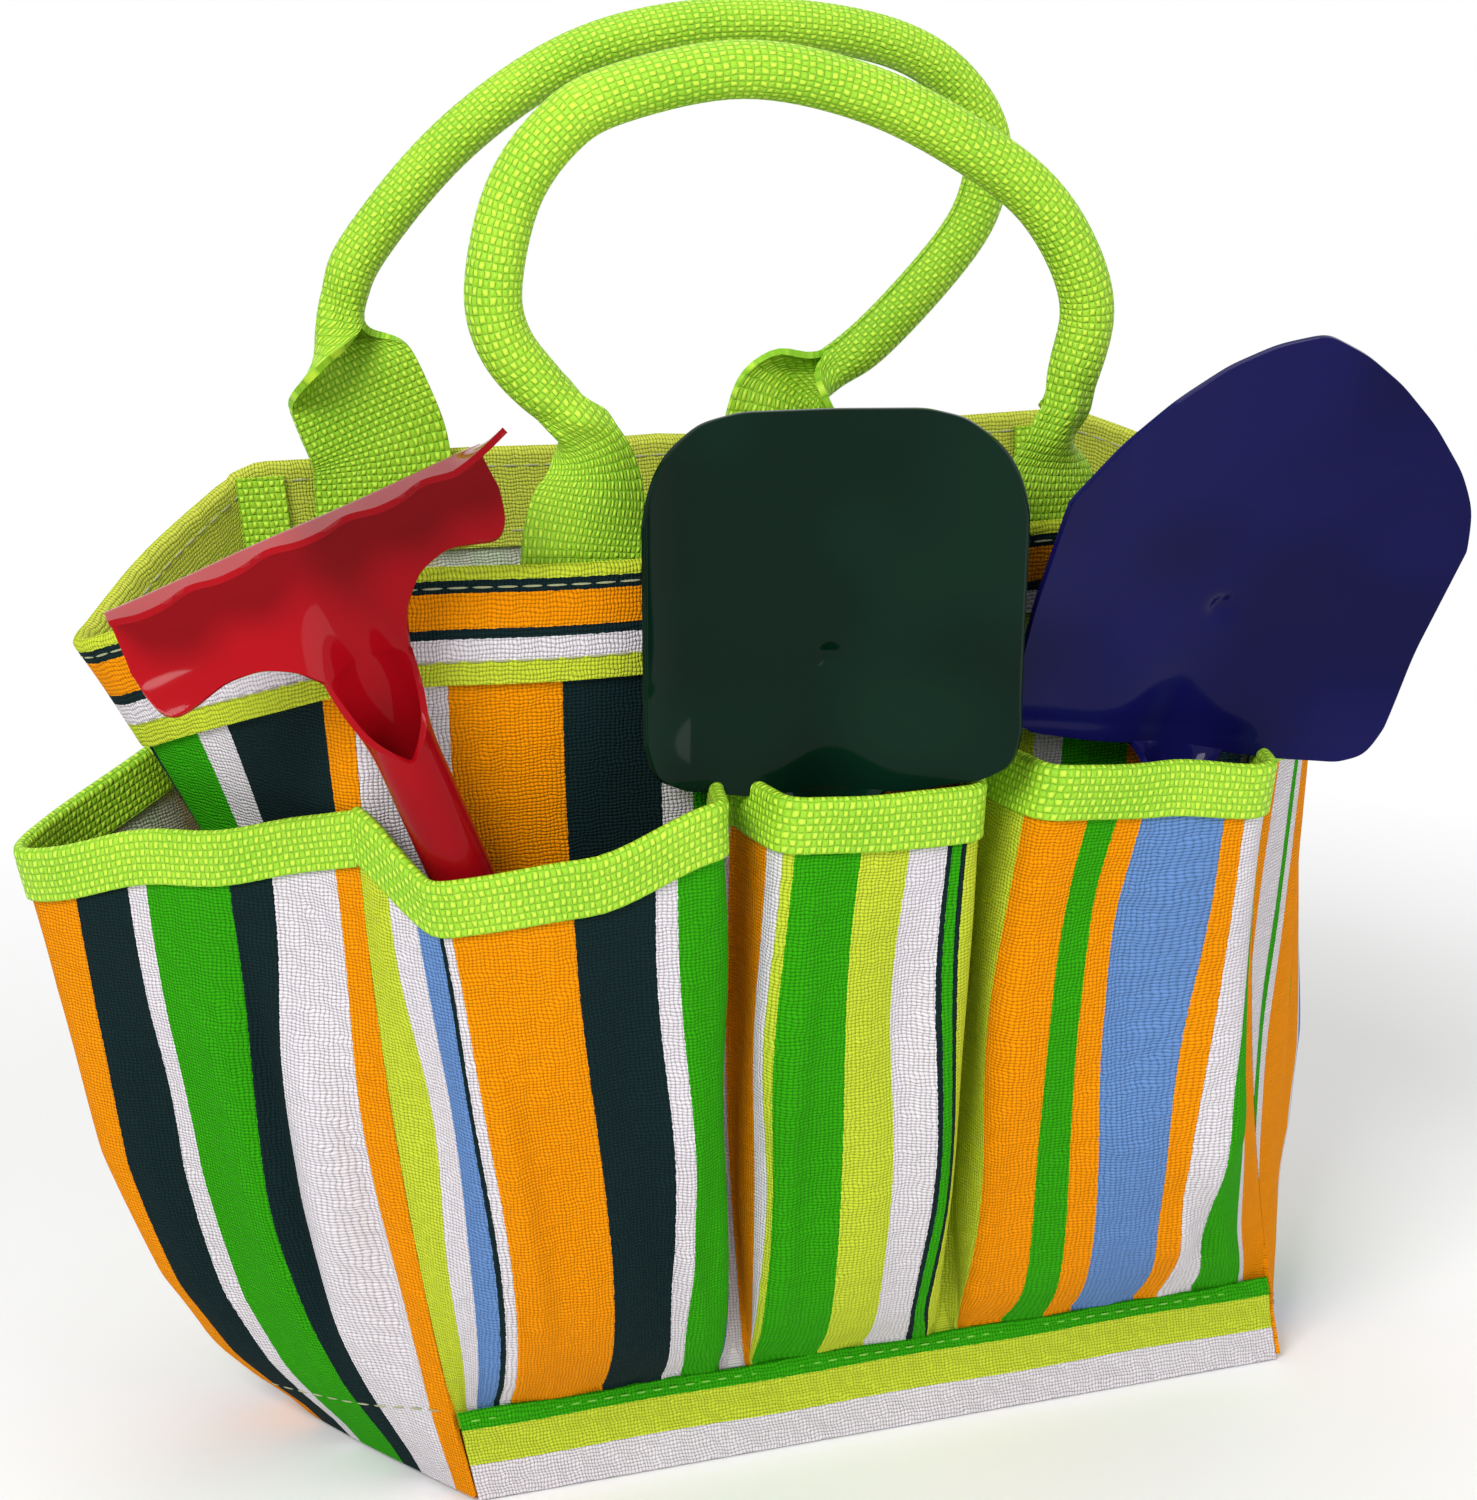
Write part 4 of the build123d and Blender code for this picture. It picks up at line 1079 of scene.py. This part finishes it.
def handle_strip(name, line, y, outward, foot_width, curl, gather, rolls, looks, material):
    """Webbing that lies flat at its feet and is rolled and sewn round a cord between them."""
    route, distance = smooth_line(line, 1.0)
    total = distance[-1]
    columns = 40
    rows = []
    for (x, z), (tx, tz), s in zip(route, directions(route), distance):
        near = min(s, total - s)
        start, end = rolls[0 if s < total / 2 else 1]
        grip = smooth_step(near, start, end)
        angle = curl * smooth_step(near, 19.0, 27.0) + (ROLL_ANGLE - curl) * grip
        angle = max(angle, 1e-3)
        waist = start * 0.65 + end * 0.35
        pinch = 0.1 * math.exp(-((near - end) / 5.0) ** 2)
        pinch += gather * math.exp(-((near - waist) / 7.0) ** 2)
        width = (foot_width + (2 * math.pi * ROLL_RADIUS - foot_width) * grip) * (1 - pinch)
        radius = width / angle
        mean = radius * math.sin(angle / 2) / (angle / 2)
        turn = outward * SLIT_TURN * grip
        # width runs across the line, seen from the outer side
        across = np.array([-tz * outward, 0.0, tx * outward])
        out = np.array([0.0, outward, 0.0])
        crumple = math.exp(-((near - end + 5) / 8) ** 2)
        centre = np.array([x, y, z]) - mean * (across * math.sin(turn) + out * math.cos(turn))
        p = (np.linspace(-angle / 2, angle / 2, columns) + turn)[:, None]
        sideways = (radius + 0.4 * crumple * np.sin(5 * p + s / 3.0)) * np.sin(p)
        creased = 0.55 * np.cos(4 * p + s / 4.0) + 0.3 * math.sin(s / 1.4)
        rows.append(centre + across * sideways + out * (radius * np.cos(p) + crumple * creased))
    width_run = np.linspace(0, looks.width, columns)
    piece = sheet(name, np.array(rows), width_run[None, :], distance[:, None], looks.thickness, [material])
    return piece, route


def cord_core(name, route, y, body, node, material):
    """Twisted cotton cord inside the rolled part of a handle."""
    distance = running_length(route)
    line = route[(distance > CORD_START) & (distance < distance[-1] - CORD_START)][::2]
    sides, strands = 24, 3
    angle = np.linspace(0, 2 * math.pi, sides + 1)
    rows = []
    for k, ((x, z), (tx, tz)) in enumerate(zip(line, directions(line))):
        taper = min(1.0, 0.55 + 0.15 * min(k, len(line) - 1 - k))
        swell = (2.55 + 0.5 * np.abs(np.cos(strands / 2 * (angle - k * 0.35)))) * taper
        across = np.array([-tz, 0.0, tx])
        rows.append(np.array([x, y, z]) + across * (swell * np.cos(angle))[:, None]
                    + np.array([0.0, 1.0, 0.0]) * (swell * np.sin(angle))[:, None])
    uv = np.stack(np.broadcast_arrays(angle[None, :] * 3, np.arange(len(line))[:, None] * 2.0), axis=2)
    faces = grid_faces(len(line), sides + 1)
    last = (len(line) - 1) * (sides + 1)
    faces.append(tuple(range(sides, 0, -1)))
    faces.append(tuple(last + k for k in range(sides)))
    piece = new_piece(name, np.array(rows).reshape(-1, 3), faces, uv.reshape(-1, 2), [material])
    piece.modifiers.new("join", "WELD").merge_threshold = 0.01 * MM
    place(settle(piece), body, "cord", node)


def handles(looks):
    """Both handles, each with its cord."""
    webs = webbing("handle_webbing", looks)
    cotton = cord_cotton("core_cotton", tuple(looks.cord))
    for name, line, y, outward, foot, curl, gather, rolls in (
            ("front_handle", FRONT_LINE, FRONT_HANDLE_Y, -1, 22.5, 0.7, 0.36, ((34, 50), (28, 44))),
            ("rear_handle", REAR_LINE, REAR_HANDLE_Y, 1, 29.5, 0.25, 0.04, ((36, 54), (23, 38)))):
        piece, route = handle_strip(name + "_strip", line, y, outward, foot, curl, gather, rolls, looks, webs)
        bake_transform(piece)
        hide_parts(name + "_webbing", name + "_tabs")
        cord_core(name + "_cord", route, y, name, name + "_core", cotton)


# ---- tools ----
SHEET = 1.2  # thickness of the steel
SOCKET_RADIUS = 5.4  # of the middle of the sheet
SOCKET_LENGTH = 24.0
GRIP_LENGTH = 92.0
# where the top of a tool's socket stands: x, height, distance from the wall, tilt, turn and lean
STANDS = {
    "rake": (-94.2, 144.8, 10.6, -21.0, 0.0, 3.0),
    "spade": (-21.5, 143.0, 12.0, -1.0, -12.0, 3.9),
    "trowel": (51.1, 144.6, 10.6, 11.0, 0.0, 3.0),
}
THROAT_STEPS = 18
# how the throat opens from the socket to the plate: shares of its length, half angles and radii
THROAT_SHARES = [0, 0.2, 0.42, 0.6, 1.0]
THROAT_HALVES = [179.9, 140, 104, 86, 70]
THROAT_RADII = [5.4, 5.6, 6.2, 7.0, 8.6]
PAINTS = {"rake": "red_paint", "spade": "green_paint", "trowel": "blue_paint"}
NECK_SHARE = 0.24  # the part of a plate's lower edge that the neck takes


def stand_place(name, points):
    """Points of a tool, given across, deep and along its axis, where it stands in its pocket."""
    x, z, standoff, *turns = STANDS[name]
    tilt, turn, lean = (math.radians(a) for a in turns)
    upright = math.cos(lean)
    axis = np.array([math.sin(tilt) * upright, -math.sin(lean), math.cos(tilt) * upright])
    across = np.array([math.cos(turn), math.sin(turn), 0.0])
    across -= axis * across.dot(axis)
    across /= np.linalg.norm(across)
    origin = np.array([x, corner("front_left", z)[1] - standoff, z]) - axis * GRIP_LENGTH
    return origin + points @ np.array([across, np.cross(axis, across), axis])


def edge_line(right, left, shares, softness):
    """An edge of a plate from left to right, through its knees, given from the middle outwards."""
    k, u, v = np.array([(-k, -u, v) for k, u, v in left[:0:-1]] + right).T
    return smoothed(np.stack([np.interp(shares, k, u), np.interp(shares, k, v)], axis=1), softness)


def lower_edge(right, left, shares, softness):
    """The lower edge of a plate, straight where the neck meets it."""
    line = edge_line(right, left, shares, softness)
    inner = neck_columns(shares)
    _, half, low = right[1]
    line[inner, 0] = np.linspace(-half, half, inner.sum())
    line[inner, 1] = low
    return line


def rolled_neck(first_row, apex, low):
    """The rolled socket, open above its apex, whose last row is the plate's own."""
    share = np.linspace(-1, 1, len(first_row))
    rows = []
    for v in np.linspace(GRIP_LENGTH - SOCKET_LENGTH, apex, 14, endpoint=False):
        angle = share * math.radians(THROAT_HALVES[0])
        rows.append(points_at(SOCKET_RADIUS * np.sin(angle), SOCKET_RADIUS * np.cos(angle), v))
    for f in np.linspace(0, 1, THROAT_STEPS):
        angle = share * math.radians(np.interp(f, THROAT_SHARES, THROAT_HALVES))
        radius = np.interp(f, THROAT_SHARES, THROAT_RADII)
        deep = SOCKET_RADIUS - radius * (1 - np.cos(angle))
        arc = points_at(radius * np.sin(angle), deep, apex + (low - apex) * f)
        rows.append(arc + (first_row - arc) * smooth_step(f, 0.35, 1.0))
    return np.array(rows)


def pressed_plate(low_edge, top_edge, press, rows):
    """Sheet between two edges, each point pressed forward by its place on the tool."""
    f = np.linspace(0, 1, rows)[:, None, None]
    flat = low_edge[None] + (top_edge - low_edge)[None] * f
    u, v = flat[..., 0], flat[..., 1]
    return points_at(u, SOCKET_RADIUS - press(u, v), v)


def tool_head(name, plate, shares, apex, low, paint):
    """Joins a rolled neck and a plate into one painted sheet."""
    neck = rolled_neck(plate[0, neck_columns(shares)], apex, low)
    vertices = np.concatenate([stand_place(name, grid).reshape(-1, 3) for grid in (neck, plate)])
    start = neck.shape[0] * neck.shape[1]
    faces = grid_faces(*neck.shape[:2])
    faces += [[start + i for i in face] for face in grid_faces(*plate.shape[:2])]
    piece = new_piece(name + "_sheet", vertices, faces, None, [paint])
    piece.modifiers.new("join", "WELD").merge_threshold = 0.05 * MM
    piece.modifiers.new("smooth", "SUBSURF").levels = 1
    solid = piece.modifiers.new("gauge", "SOLIDIFY")
    solid.thickness = SHEET * MM
    solid.offset = 0
    edge = piece.modifiers.new("edge", "BEVEL")
    edge.width = 0.38 * MM
    edge.segments = 3
    edge.limit_method = "ANGLE"
    edge.angle_limit = math.radians(55)
    place(settle(piece), name, PAINTS[name], name + "_head")


def valley(u, v, low, reach, depth, width=7.0):
    """The hollow of the neck, running out up the plate."""
    return depth * (1 - np.exp(-(u / width) ** 2)) * (1 - smooth_step(v, low - 2, low + reach))


def spot(u, v, middle, radius, depth):
    """A small round dimple pressed backwards."""
    return -depth * np.exp(-((u ** 2 + (v - middle) ** 2) / radius ** 2) ** 2)


def neck_columns(shares):
    """Which of a plate's columns the neck shares."""
    return np.abs(shares) <= NECK_SHARE + 1e-6


def plate_shares(count):
    """Even shares of a plate from left to right that meet the neck's edges exactly."""
    inner = np.linspace(-NECK_SHARE, NECK_SHARE, 15)
    outer = np.linspace(NECK_SHARE, 1, count)[1:]
    return np.concatenate([-outer[::-1], inner, outer])


def rake_sheet(paint):
    """The rake's waisted plate, whose upper edge is bent forward into tines."""
    apex, low, fold, bend = 114.5, 133.0, 160.0, 3
    shares = plate_shares(30)
    neck = [(0, 0, low), (NECK_SHARE, 8.0, low)]
    right = neck + [(0.36, 10.2, 139.5), (0.50, 15.0, 144.0), (0.64, 21.0, 145.6), (0.76, 26.0, 144.6),
                    (0.86, 30.2, 143.6), (0.94, 33.2, 145.8), (1.0, 34.0, 151.0)]
    left = neck + [(0.36, 11.5, 137.4), (0.50, 17.0, 140.2), (0.64, 23.5, 141.2), (0.76, 29.5, 140.2),
                   (0.86, 34.2, 139.6), (0.94, 37.0, 142.5), (1.0, 37.4, 148.0)]
    top = fold - bend
    top_edge = edge_line([(0, 0, top), (1, 33.6, top)], [(0, 0, top), (1, 37.0, top)], shares, 0)

    def press(u, v):
        lobes = smooth_step(np.abs(u), 15, 32) * (1 - smooth_step(v, 139, 149)) ** 1.5
        waves = 0.35 * np.sin(u / 6.0) * smooth_step(v, 140, 155)
        return valley(u, v, low, 22.0, 8.2) + 2.8 * lobes + waves

    plate = pressed_plate(lower_edge(right, left, shares, 2), top_edge, press, 22)
    u = plate[-1, :, 0]
    face = SOCKET_RADIUS - press(u, fold)
    rows = []
    for angle in np.linspace(0, math.pi / 2, 6)[1:]:
        rows.append(points_at(u, face - bend * (1 - math.cos(angle)), top + bend * math.sin(angle)))
    tine = 0.5 + 0.5 * np.cos((u + 37) * 2 * math.pi / 14.6)
    reach = 8.4 - 2.9 * tine ** 1.6
    horn = smooth_step(u, 26, 34.4)
    for t in np.linspace(0, 1, 10)[1:]:
        rise = 0.25 * t + 3.4 * horn * t ** 1.5
        rows.append(points_at(u + horn * 4.6 * t ** 1.4, face - bend - (reach + 0.5 * horn) * t, fold + rise))
    tool_head("rake", np.concatenate([plate, np.array(rows)]), shares, apex, low, paint)


def spade_sheet(paint):
    apex, low, half, top = 90.0, 98.6, 35.2, 172.0
    shares = plate_shares(28)
    knees = [(0, 0, low), (NECK_SHARE, 10.5, low), (0.45, 18.0, 99.2), (0.72, 28.0, 100.8),
             (0.88, 33.6, 104.5), (1.0, half, 111.0)]
    crown = [(0, 0, top), (0.45, 17.0, top - 0.3), (0.66, 24.5, top - 2.2), (0.84, 31.0, top - 7.0),
             (0.94, 34.2, top - 12.5), (1.0, half, top - 19.0)]

    def press(u, v):
        sides = 7.0 * np.clip((np.abs(u) - 19.5) / 15.7, 0, 1.2) ** 2.2
        foot = 1.3 * np.exp(-((v - 106) / 9) ** 2) * np.exp(-(u / 24) ** 2)
        return sides + valley(u, v, low, 22.0, 5.4, 8.5) + spot(u, v, 124.3, 2.7, 1.5) + foot

    low_edge, top_edge = lower_edge(knees, knees, shares, 3), edge_line(crown, crown, shares, 3)
    tool_head("spade", pressed_plate(low_edge, top_edge, press, 58), shares, apex, low, paint)


def trowel_sheet(paint):
    apex, low, half, tip = 89.0, 98.0, 43.0, 184.6
    shares = plate_shares(32)
    knees = [(0, 0, low), (NECK_SHARE, 10.5, low), (0.5, 22.0, 98.3), (0.8, 34.5, 99.2), (0.92, 39.8, 101.6),
             (1.0, 41.4, 108.0)]
    right = [(0, 0, tip), (0.22, 9.5, 181.9), (0.42, 18.6, 177.4), (0.62, 27.8, 171.0), (0.8, 36.6, 162.8),
             (0.92, 41.6, 155.6), (1.0, half + 0.7, 147.5)]
    left = [(0, 0, tip), (0.22, 9.3, 181.2), (0.42, 18.0, 175.8), (0.62, 26.6, 168.0), (0.8, 34.6, 158.6),
            (1.0, half - 0.8, 146.5)]

    def press(u, v):
        dish = 7.0 * (u / 47.0) ** 2 * smooth_step(v, low - 30, low + 22)
        crank = math.tan(math.radians(13)) * np.maximum(v - 102.0, 0)
        return dish + crank + valley(u, v, low, 30.0, 4.6, 10.0) + spot(u, v, 128.0, 2.7, 1.5)

    low_edge, top_edge = lower_edge(knees, knees, shares, 2), edge_line(right, left, shares, 2)
    tool_head("trowel", pressed_plate(low_edge, top_edge, press, 66), shares, apex, low, paint)


def repaint(node, material):
    """Gives a solid that stays as it is a finish."""
    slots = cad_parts[node].data.materials
    slots.clear()
    slots.append(material)


def tools(looks):
    """Enamelled heads pressed from sheet; the grips and pins are the solids, repainted."""
    timber = wood("grip_wood", tuple(looks.wood))
    pin = steel("pin_steel")
    for name, head in (("rake", rake_sheet), ("spade", spade_sheet), ("trowel", trowel_sheet)):
        head(enamel(name + "_enamel", tuple(getattr(looks, name)), looks))
        repaint(name + "_grip", timber)
        repaint(name + "_pin", pin)


# ---- stitching ----
def surface_run(skin, z, offset, part=slice(None)):
    """Points along a cloth surface, and the way out of it at each."""
    out = skin.outward(z)[0, part]
    return skin.points(z, offset)[0, part], np.concatenate([out, np.zeros((len(out), 1))], axis=1)


def rim_runs(looks):
    """Two rows outside and two inside the rim band, which lap with the band's ends."""
    ring = make_ring()
    top = rim_height(ring)
    part, _, lap = rim_columns(ring)
    for drop, offset in ((2.6, 1.32), (16.6, 1.32), (3.0, -2.32), (17.5, -2.32)):
        z = (top - drop)[None, :]
        points, out = surface_run(ring, z, offset + ring_push(looks.slackness)(ring, z), part)
        out *= math.copysign(1, offset)
        points += out * lap[:, None]
        points[:, 2] += lap
        yield points, out


def base_runs(looks):
    """One row along the front and one along the back, near the upper edge of the base cloth."""
    f = np.linspace(0.006, 0.994, 90)
    z = 20.2
    for side in (-1, 1):
        a, b, y = level_line(side, z, f)
        yield points_at(a[0] + (b[0] - a[0]) * f, y + side * 2.28, z), points_at(0 * f, side, 0.0)


def hem_height(skin, low, high):
    """Height of a side pocket's lower edge, which rises to the corners."""
    share = np.abs(2 * skin.across / skin.across[-1] - 1)
    return low + (high - low) * share ** 1.3


def hem_runs(looks):
    """One row along the foot of each side pocket."""
    for left in (True, False):
        skin = side_skin(left)
        z = (hem_height(skin, 8.5, 20.0 if left else 12.0) + 2.2)[None, :]
        yield surface_run(skin, z, 0.5 + side_push(left, looks.slackness)(skin, z))


def stitching(looks):
    """Rows of stitches; each kind's pitch and length are shares of the user's stitch pitch."""
    cream = thread("cream_thread", tint("A9AE86"))
    green = thread("green_thread", tint("7FCB45"))
    for name, runs, pitch, length, material, slot in (
            ("rim_stitches", rim_runs, 1.0, 0.82, cream, "rim_canvas"),
            ("base_stitches", base_runs, 0.75, 0.45, green, "base_canvas"),
            ("hem_stitches", hem_runs, 1.0, 0.7, cream, "stripe_canvas")):
        pitch, length = looks.stitch_pitch * pitch, looks.stitch_pitch * length
        place(stitches(name, runs(looks), pitch, length, material), "bag", slot)


# ---- stage ----
WHITE = (1, 1, 1, 1)
FLOOR_SIZE = 3.0
FLOOR_FADE = (0.22, 0.42)  # from and to these distances the floor turns white, in metres


def seen(finish):
    """1 for rays from the camera, also by way of glossy and clear surfaces, and 0 for the rest."""
    direct, mirrored, through = (finish.node("LightPath", {}, {}, output) for output in (0, 3, 6))
    return finish.maths("MAXIMUM", finish.maths("MAXIMUM", direct, mirrored), through)


def pale_floor(looks):
    """A pale floor that keeps the object's shadow and is plain white further off."""
    mesh = bpy.data.meshes.new("floor")
    corners = [(x * FLOOR_SIZE, y * FLOOR_SIZE, 0) for x, y in ((-1, -1), (1, -1), (1, 1), (-1, 1))]
    mesh.from_pydata(corners, [], [(0, 1, 2, 3)])
    floor = put("floor", mesh)
    finish = Finish("floor_white")
    away = finish.node("VectorMath", {"operation": "LENGTH"}, {0: finish.object_place()}, 1)
    near, far = FLOOR_FADE
    spread = finish.node("MapRange", {"clamp": True}, {0: away, 1: near, 2: far, 3: 0.0, 4: 1.0})
    lit = finish.node("BsdfDiffuse", {}, {0: (*looks.floor, 1.0)})
    glow = finish.node("Emission", {}, {0: WHITE, 1: 1.0})
    mixed = finish.node("MixShader", {}, {0: seen(finish) * spread, 1: lit, 2: glow})
    finish.node("OutputMaterial", {}, {"Surface": mixed})
    mesh.materials.append(finish.made)


def surroundings(looks):
    """Soft light from all round, in front of a white background."""
    finish = Finish("studio", "worlds")
    sky, page = (finish.node("Background", {}, {"Color": WHITE, "Strength": power})
                 for power in (looks.sky, 1.0))
    mixed = finish.node("MixShader", {}, {0: seen(finish), 1: sky, 2: page})
    finish.node("OutputWorld", {}, {"Surface": mixed})
    bpy.context.scene.world = finish.made


CAMERA_PLACE = (-0.193, -0.534, 0.321)
CAMERA_DOWN, CAMERA_RIGHT = 18, 18  # degrees that it looks down and to the right
CAMERA_LENS, CAMERA_FILM = 67.2, 36.0


def stage(looks):
    """Floor, light and camera."""
    pale_floor(looks)
    surroundings(looks)
    for name, power, stand, aim, width in (
            ("key", looks.key, (-0.75, -0.75, 0.95), (-0.02, 0, 0.12), 0.5),
            ("fill", looks.fill, (0.85, -0.85, 0.65), (0, 0, 0.12), 0.8),
            ("top", looks.fill * 0.8, (0.05, 0.25, 1.2), (0, 0, 0.12), 0.8)):
        light = bpy.data.lights.new(name, "AREA")
        light.energy = power
        light.shape = "RECTANGLE"
        light.size = light.size_y = width
        lamp = put(name, light)
        lamp.location = stand
        lamp.rotation_euler = (Vector(aim) - Vector(stand)).to_track_quat("-Z", "Y").to_euler()
    lens = bpy.data.cameras.new("camera")
    lens.lens = CAMERA_LENS
    lens.sensor_width = CAMERA_FILM
    camera = put("camera", lens)
    camera.location = CAMERA_PLACE
    camera.rotation_euler = (math.radians(90 - CAMERA_DOWN), 0, math.radians(-CAMERA_RIGHT))
    bpy.context.scene.camera = camera
    bpy.context.scene.view_settings.view_transform = "Standard"


# ---- operators ----
def tape_material(context):
    """The webbing of the pocket mouths and seams, which several pieces share."""
    return bpy.data.materials.get("mouth_tape") or webbing("mouth_tape", context.scene.bag_webbing)


class BAG_OT_body(bpy.types.Operator):
    """Make the front, the back and the two gussets"""
    bl_idname = "garden_bag.body"
    bl_label = "Body panels"

    def execute(self, context):
        body_walls(context.scene.bag_cloth)
        return {"FINISHED"}


class BAG_OT_rim(bpy.types.Operator):
    """Make the striped band folded over the mouth"""
    bl_idname = "garden_bag.rim"
    bl_label = "Rim band"

    def execute(self, context):
        rim_strip(context.scene.bag_cloth)
        return {"FINISHED"}


class BAG_OT_base(bpy.types.Operator):
    """Make the base cloth and paint the board that lies on it"""
    bl_idname = "garden_bag.base"
    bl_label = "Base"

    def execute(self, context):
        looks = context.scene.bag_cloth
        base_floor(looks)
        repaint("base_board", card("base_card", tuple(looks.card)))
        return {"FINISHED"}


class BAG_OT_row_pockets(bpy.types.Operator):
    """Make the rows of pockets at the front and the back, with their bound mouths"""
    bl_idname = "garden_bag.row_pockets"
    bl_label = "Front and back pockets"

    def execute(self, context):
        for front in (True, False):
            rows_of_pockets(context.scene.bag_cloth, tape_material(context), front)
        return {"FINISHED"}


class BAG_OT_side_pockets(bpy.types.Operator):
    """Make the billowing pockets at the ends, with their bound mouths"""
    bl_idname = "garden_bag.side_pockets"
    bl_label = "Side pockets"

    def execute(self, context):
        side_pockets(context.scene.bag_cloth, tape_material(context))
        return {"FINISHED"}


class BAG_OT_seams(bpy.types.Operator):
    """Make the tapes over the seams inside the corners"""
    bl_idname = "garden_bag.seams"
    bl_label = "Seam tapes"

    def execute(self, context):
        seam_tapes(tape_material(context))
        return {"FINISHED"}


class BAG_OT_handles(bpy.types.Operator):
    """Make the webbing handles and the cords inside them"""
    bl_idname = "garden_bag.handles"
    bl_label = "Handles"

    def execute(self, context):
        handles(context.scene.bag_webbing)
        return {"FINISHED"}


class BAG_OT_tools(bpy.types.Operator):
    """Paint the rake, the spade and the trowel"""
    bl_idname = "garden_bag.tools"
    bl_label = "Tools"

    def execute(self, context):
        tools(context.scene.bag_tools)
        return {"FINISHED"}


class BAG_OT_stitching(bpy.types.Operator):
    """Make the rows of stitches"""
    bl_idname = "garden_bag.stitching"
    bl_label = "Stitching"

    def execute(self, context):
        stitching(context.scene.bag_cloth)
        return {"FINISHED"}


class BAG_OT_stage(bpy.types.Operator):
    """Make the floor, the lights and the camera"""
    bl_idname = "garden_bag.stage"
    bl_label = "Floor, lights and camera"

    def execute(self, context):
        stage(context.scene.bag_stage)
        return {"FINISHED"}


OPERATORS = (BAG_OT_body, BAG_OT_rim, BAG_OT_base, BAG_OT_row_pockets, BAG_OT_side_pockets, BAG_OT_seams,
             BAG_OT_handles, BAG_OT_tools, BAG_OT_stitching, BAG_OT_stage)


class BAG_PT_panel(bpy.types.Panel):
    """Sizes and colours of the bag, and the buttons that make its pieces"""
    bl_label = "Garden tool bag"
    bl_idname = "BAG_PT_panel"
    bl_space_type = "VIEW_3D"
    bl_region_type = "UI"
    bl_category = "Garden bag"

    def draw(self, context):
        for name, group in GROUPS.items():
            box = self.layout.box()
            box.label(text=group.__doc__)
            for key in group.__annotations__:
                box.prop(getattr(context.scene, name), key)
        for operator in OPERATORS:
            self.layout.operator(operator.bl_idname)


def register():
    for cls in (*GROUPS.values(), *OPERATORS, BAG_PT_panel):
        bpy.utils.register_class(cls)
    for name, group in GROUPS.items():
        setattr(bpy.types.Scene, name, PointerProperty(type=group))


def unregister():
    for name in GROUPS:
        delattr(bpy.types.Scene, name)
    for cls in (BAG_PT_panel, *OPERATORS[::-1], *GROUPS.values()):
        bpy.utils.unregister_class(cls)


def main():
    register()
    for operator in OPERATORS:
        group, name = operator.bl_idname.split(".")
        getattr(getattr(bpy.ops, group), name)()


if __name__ == "__main__":
    main()
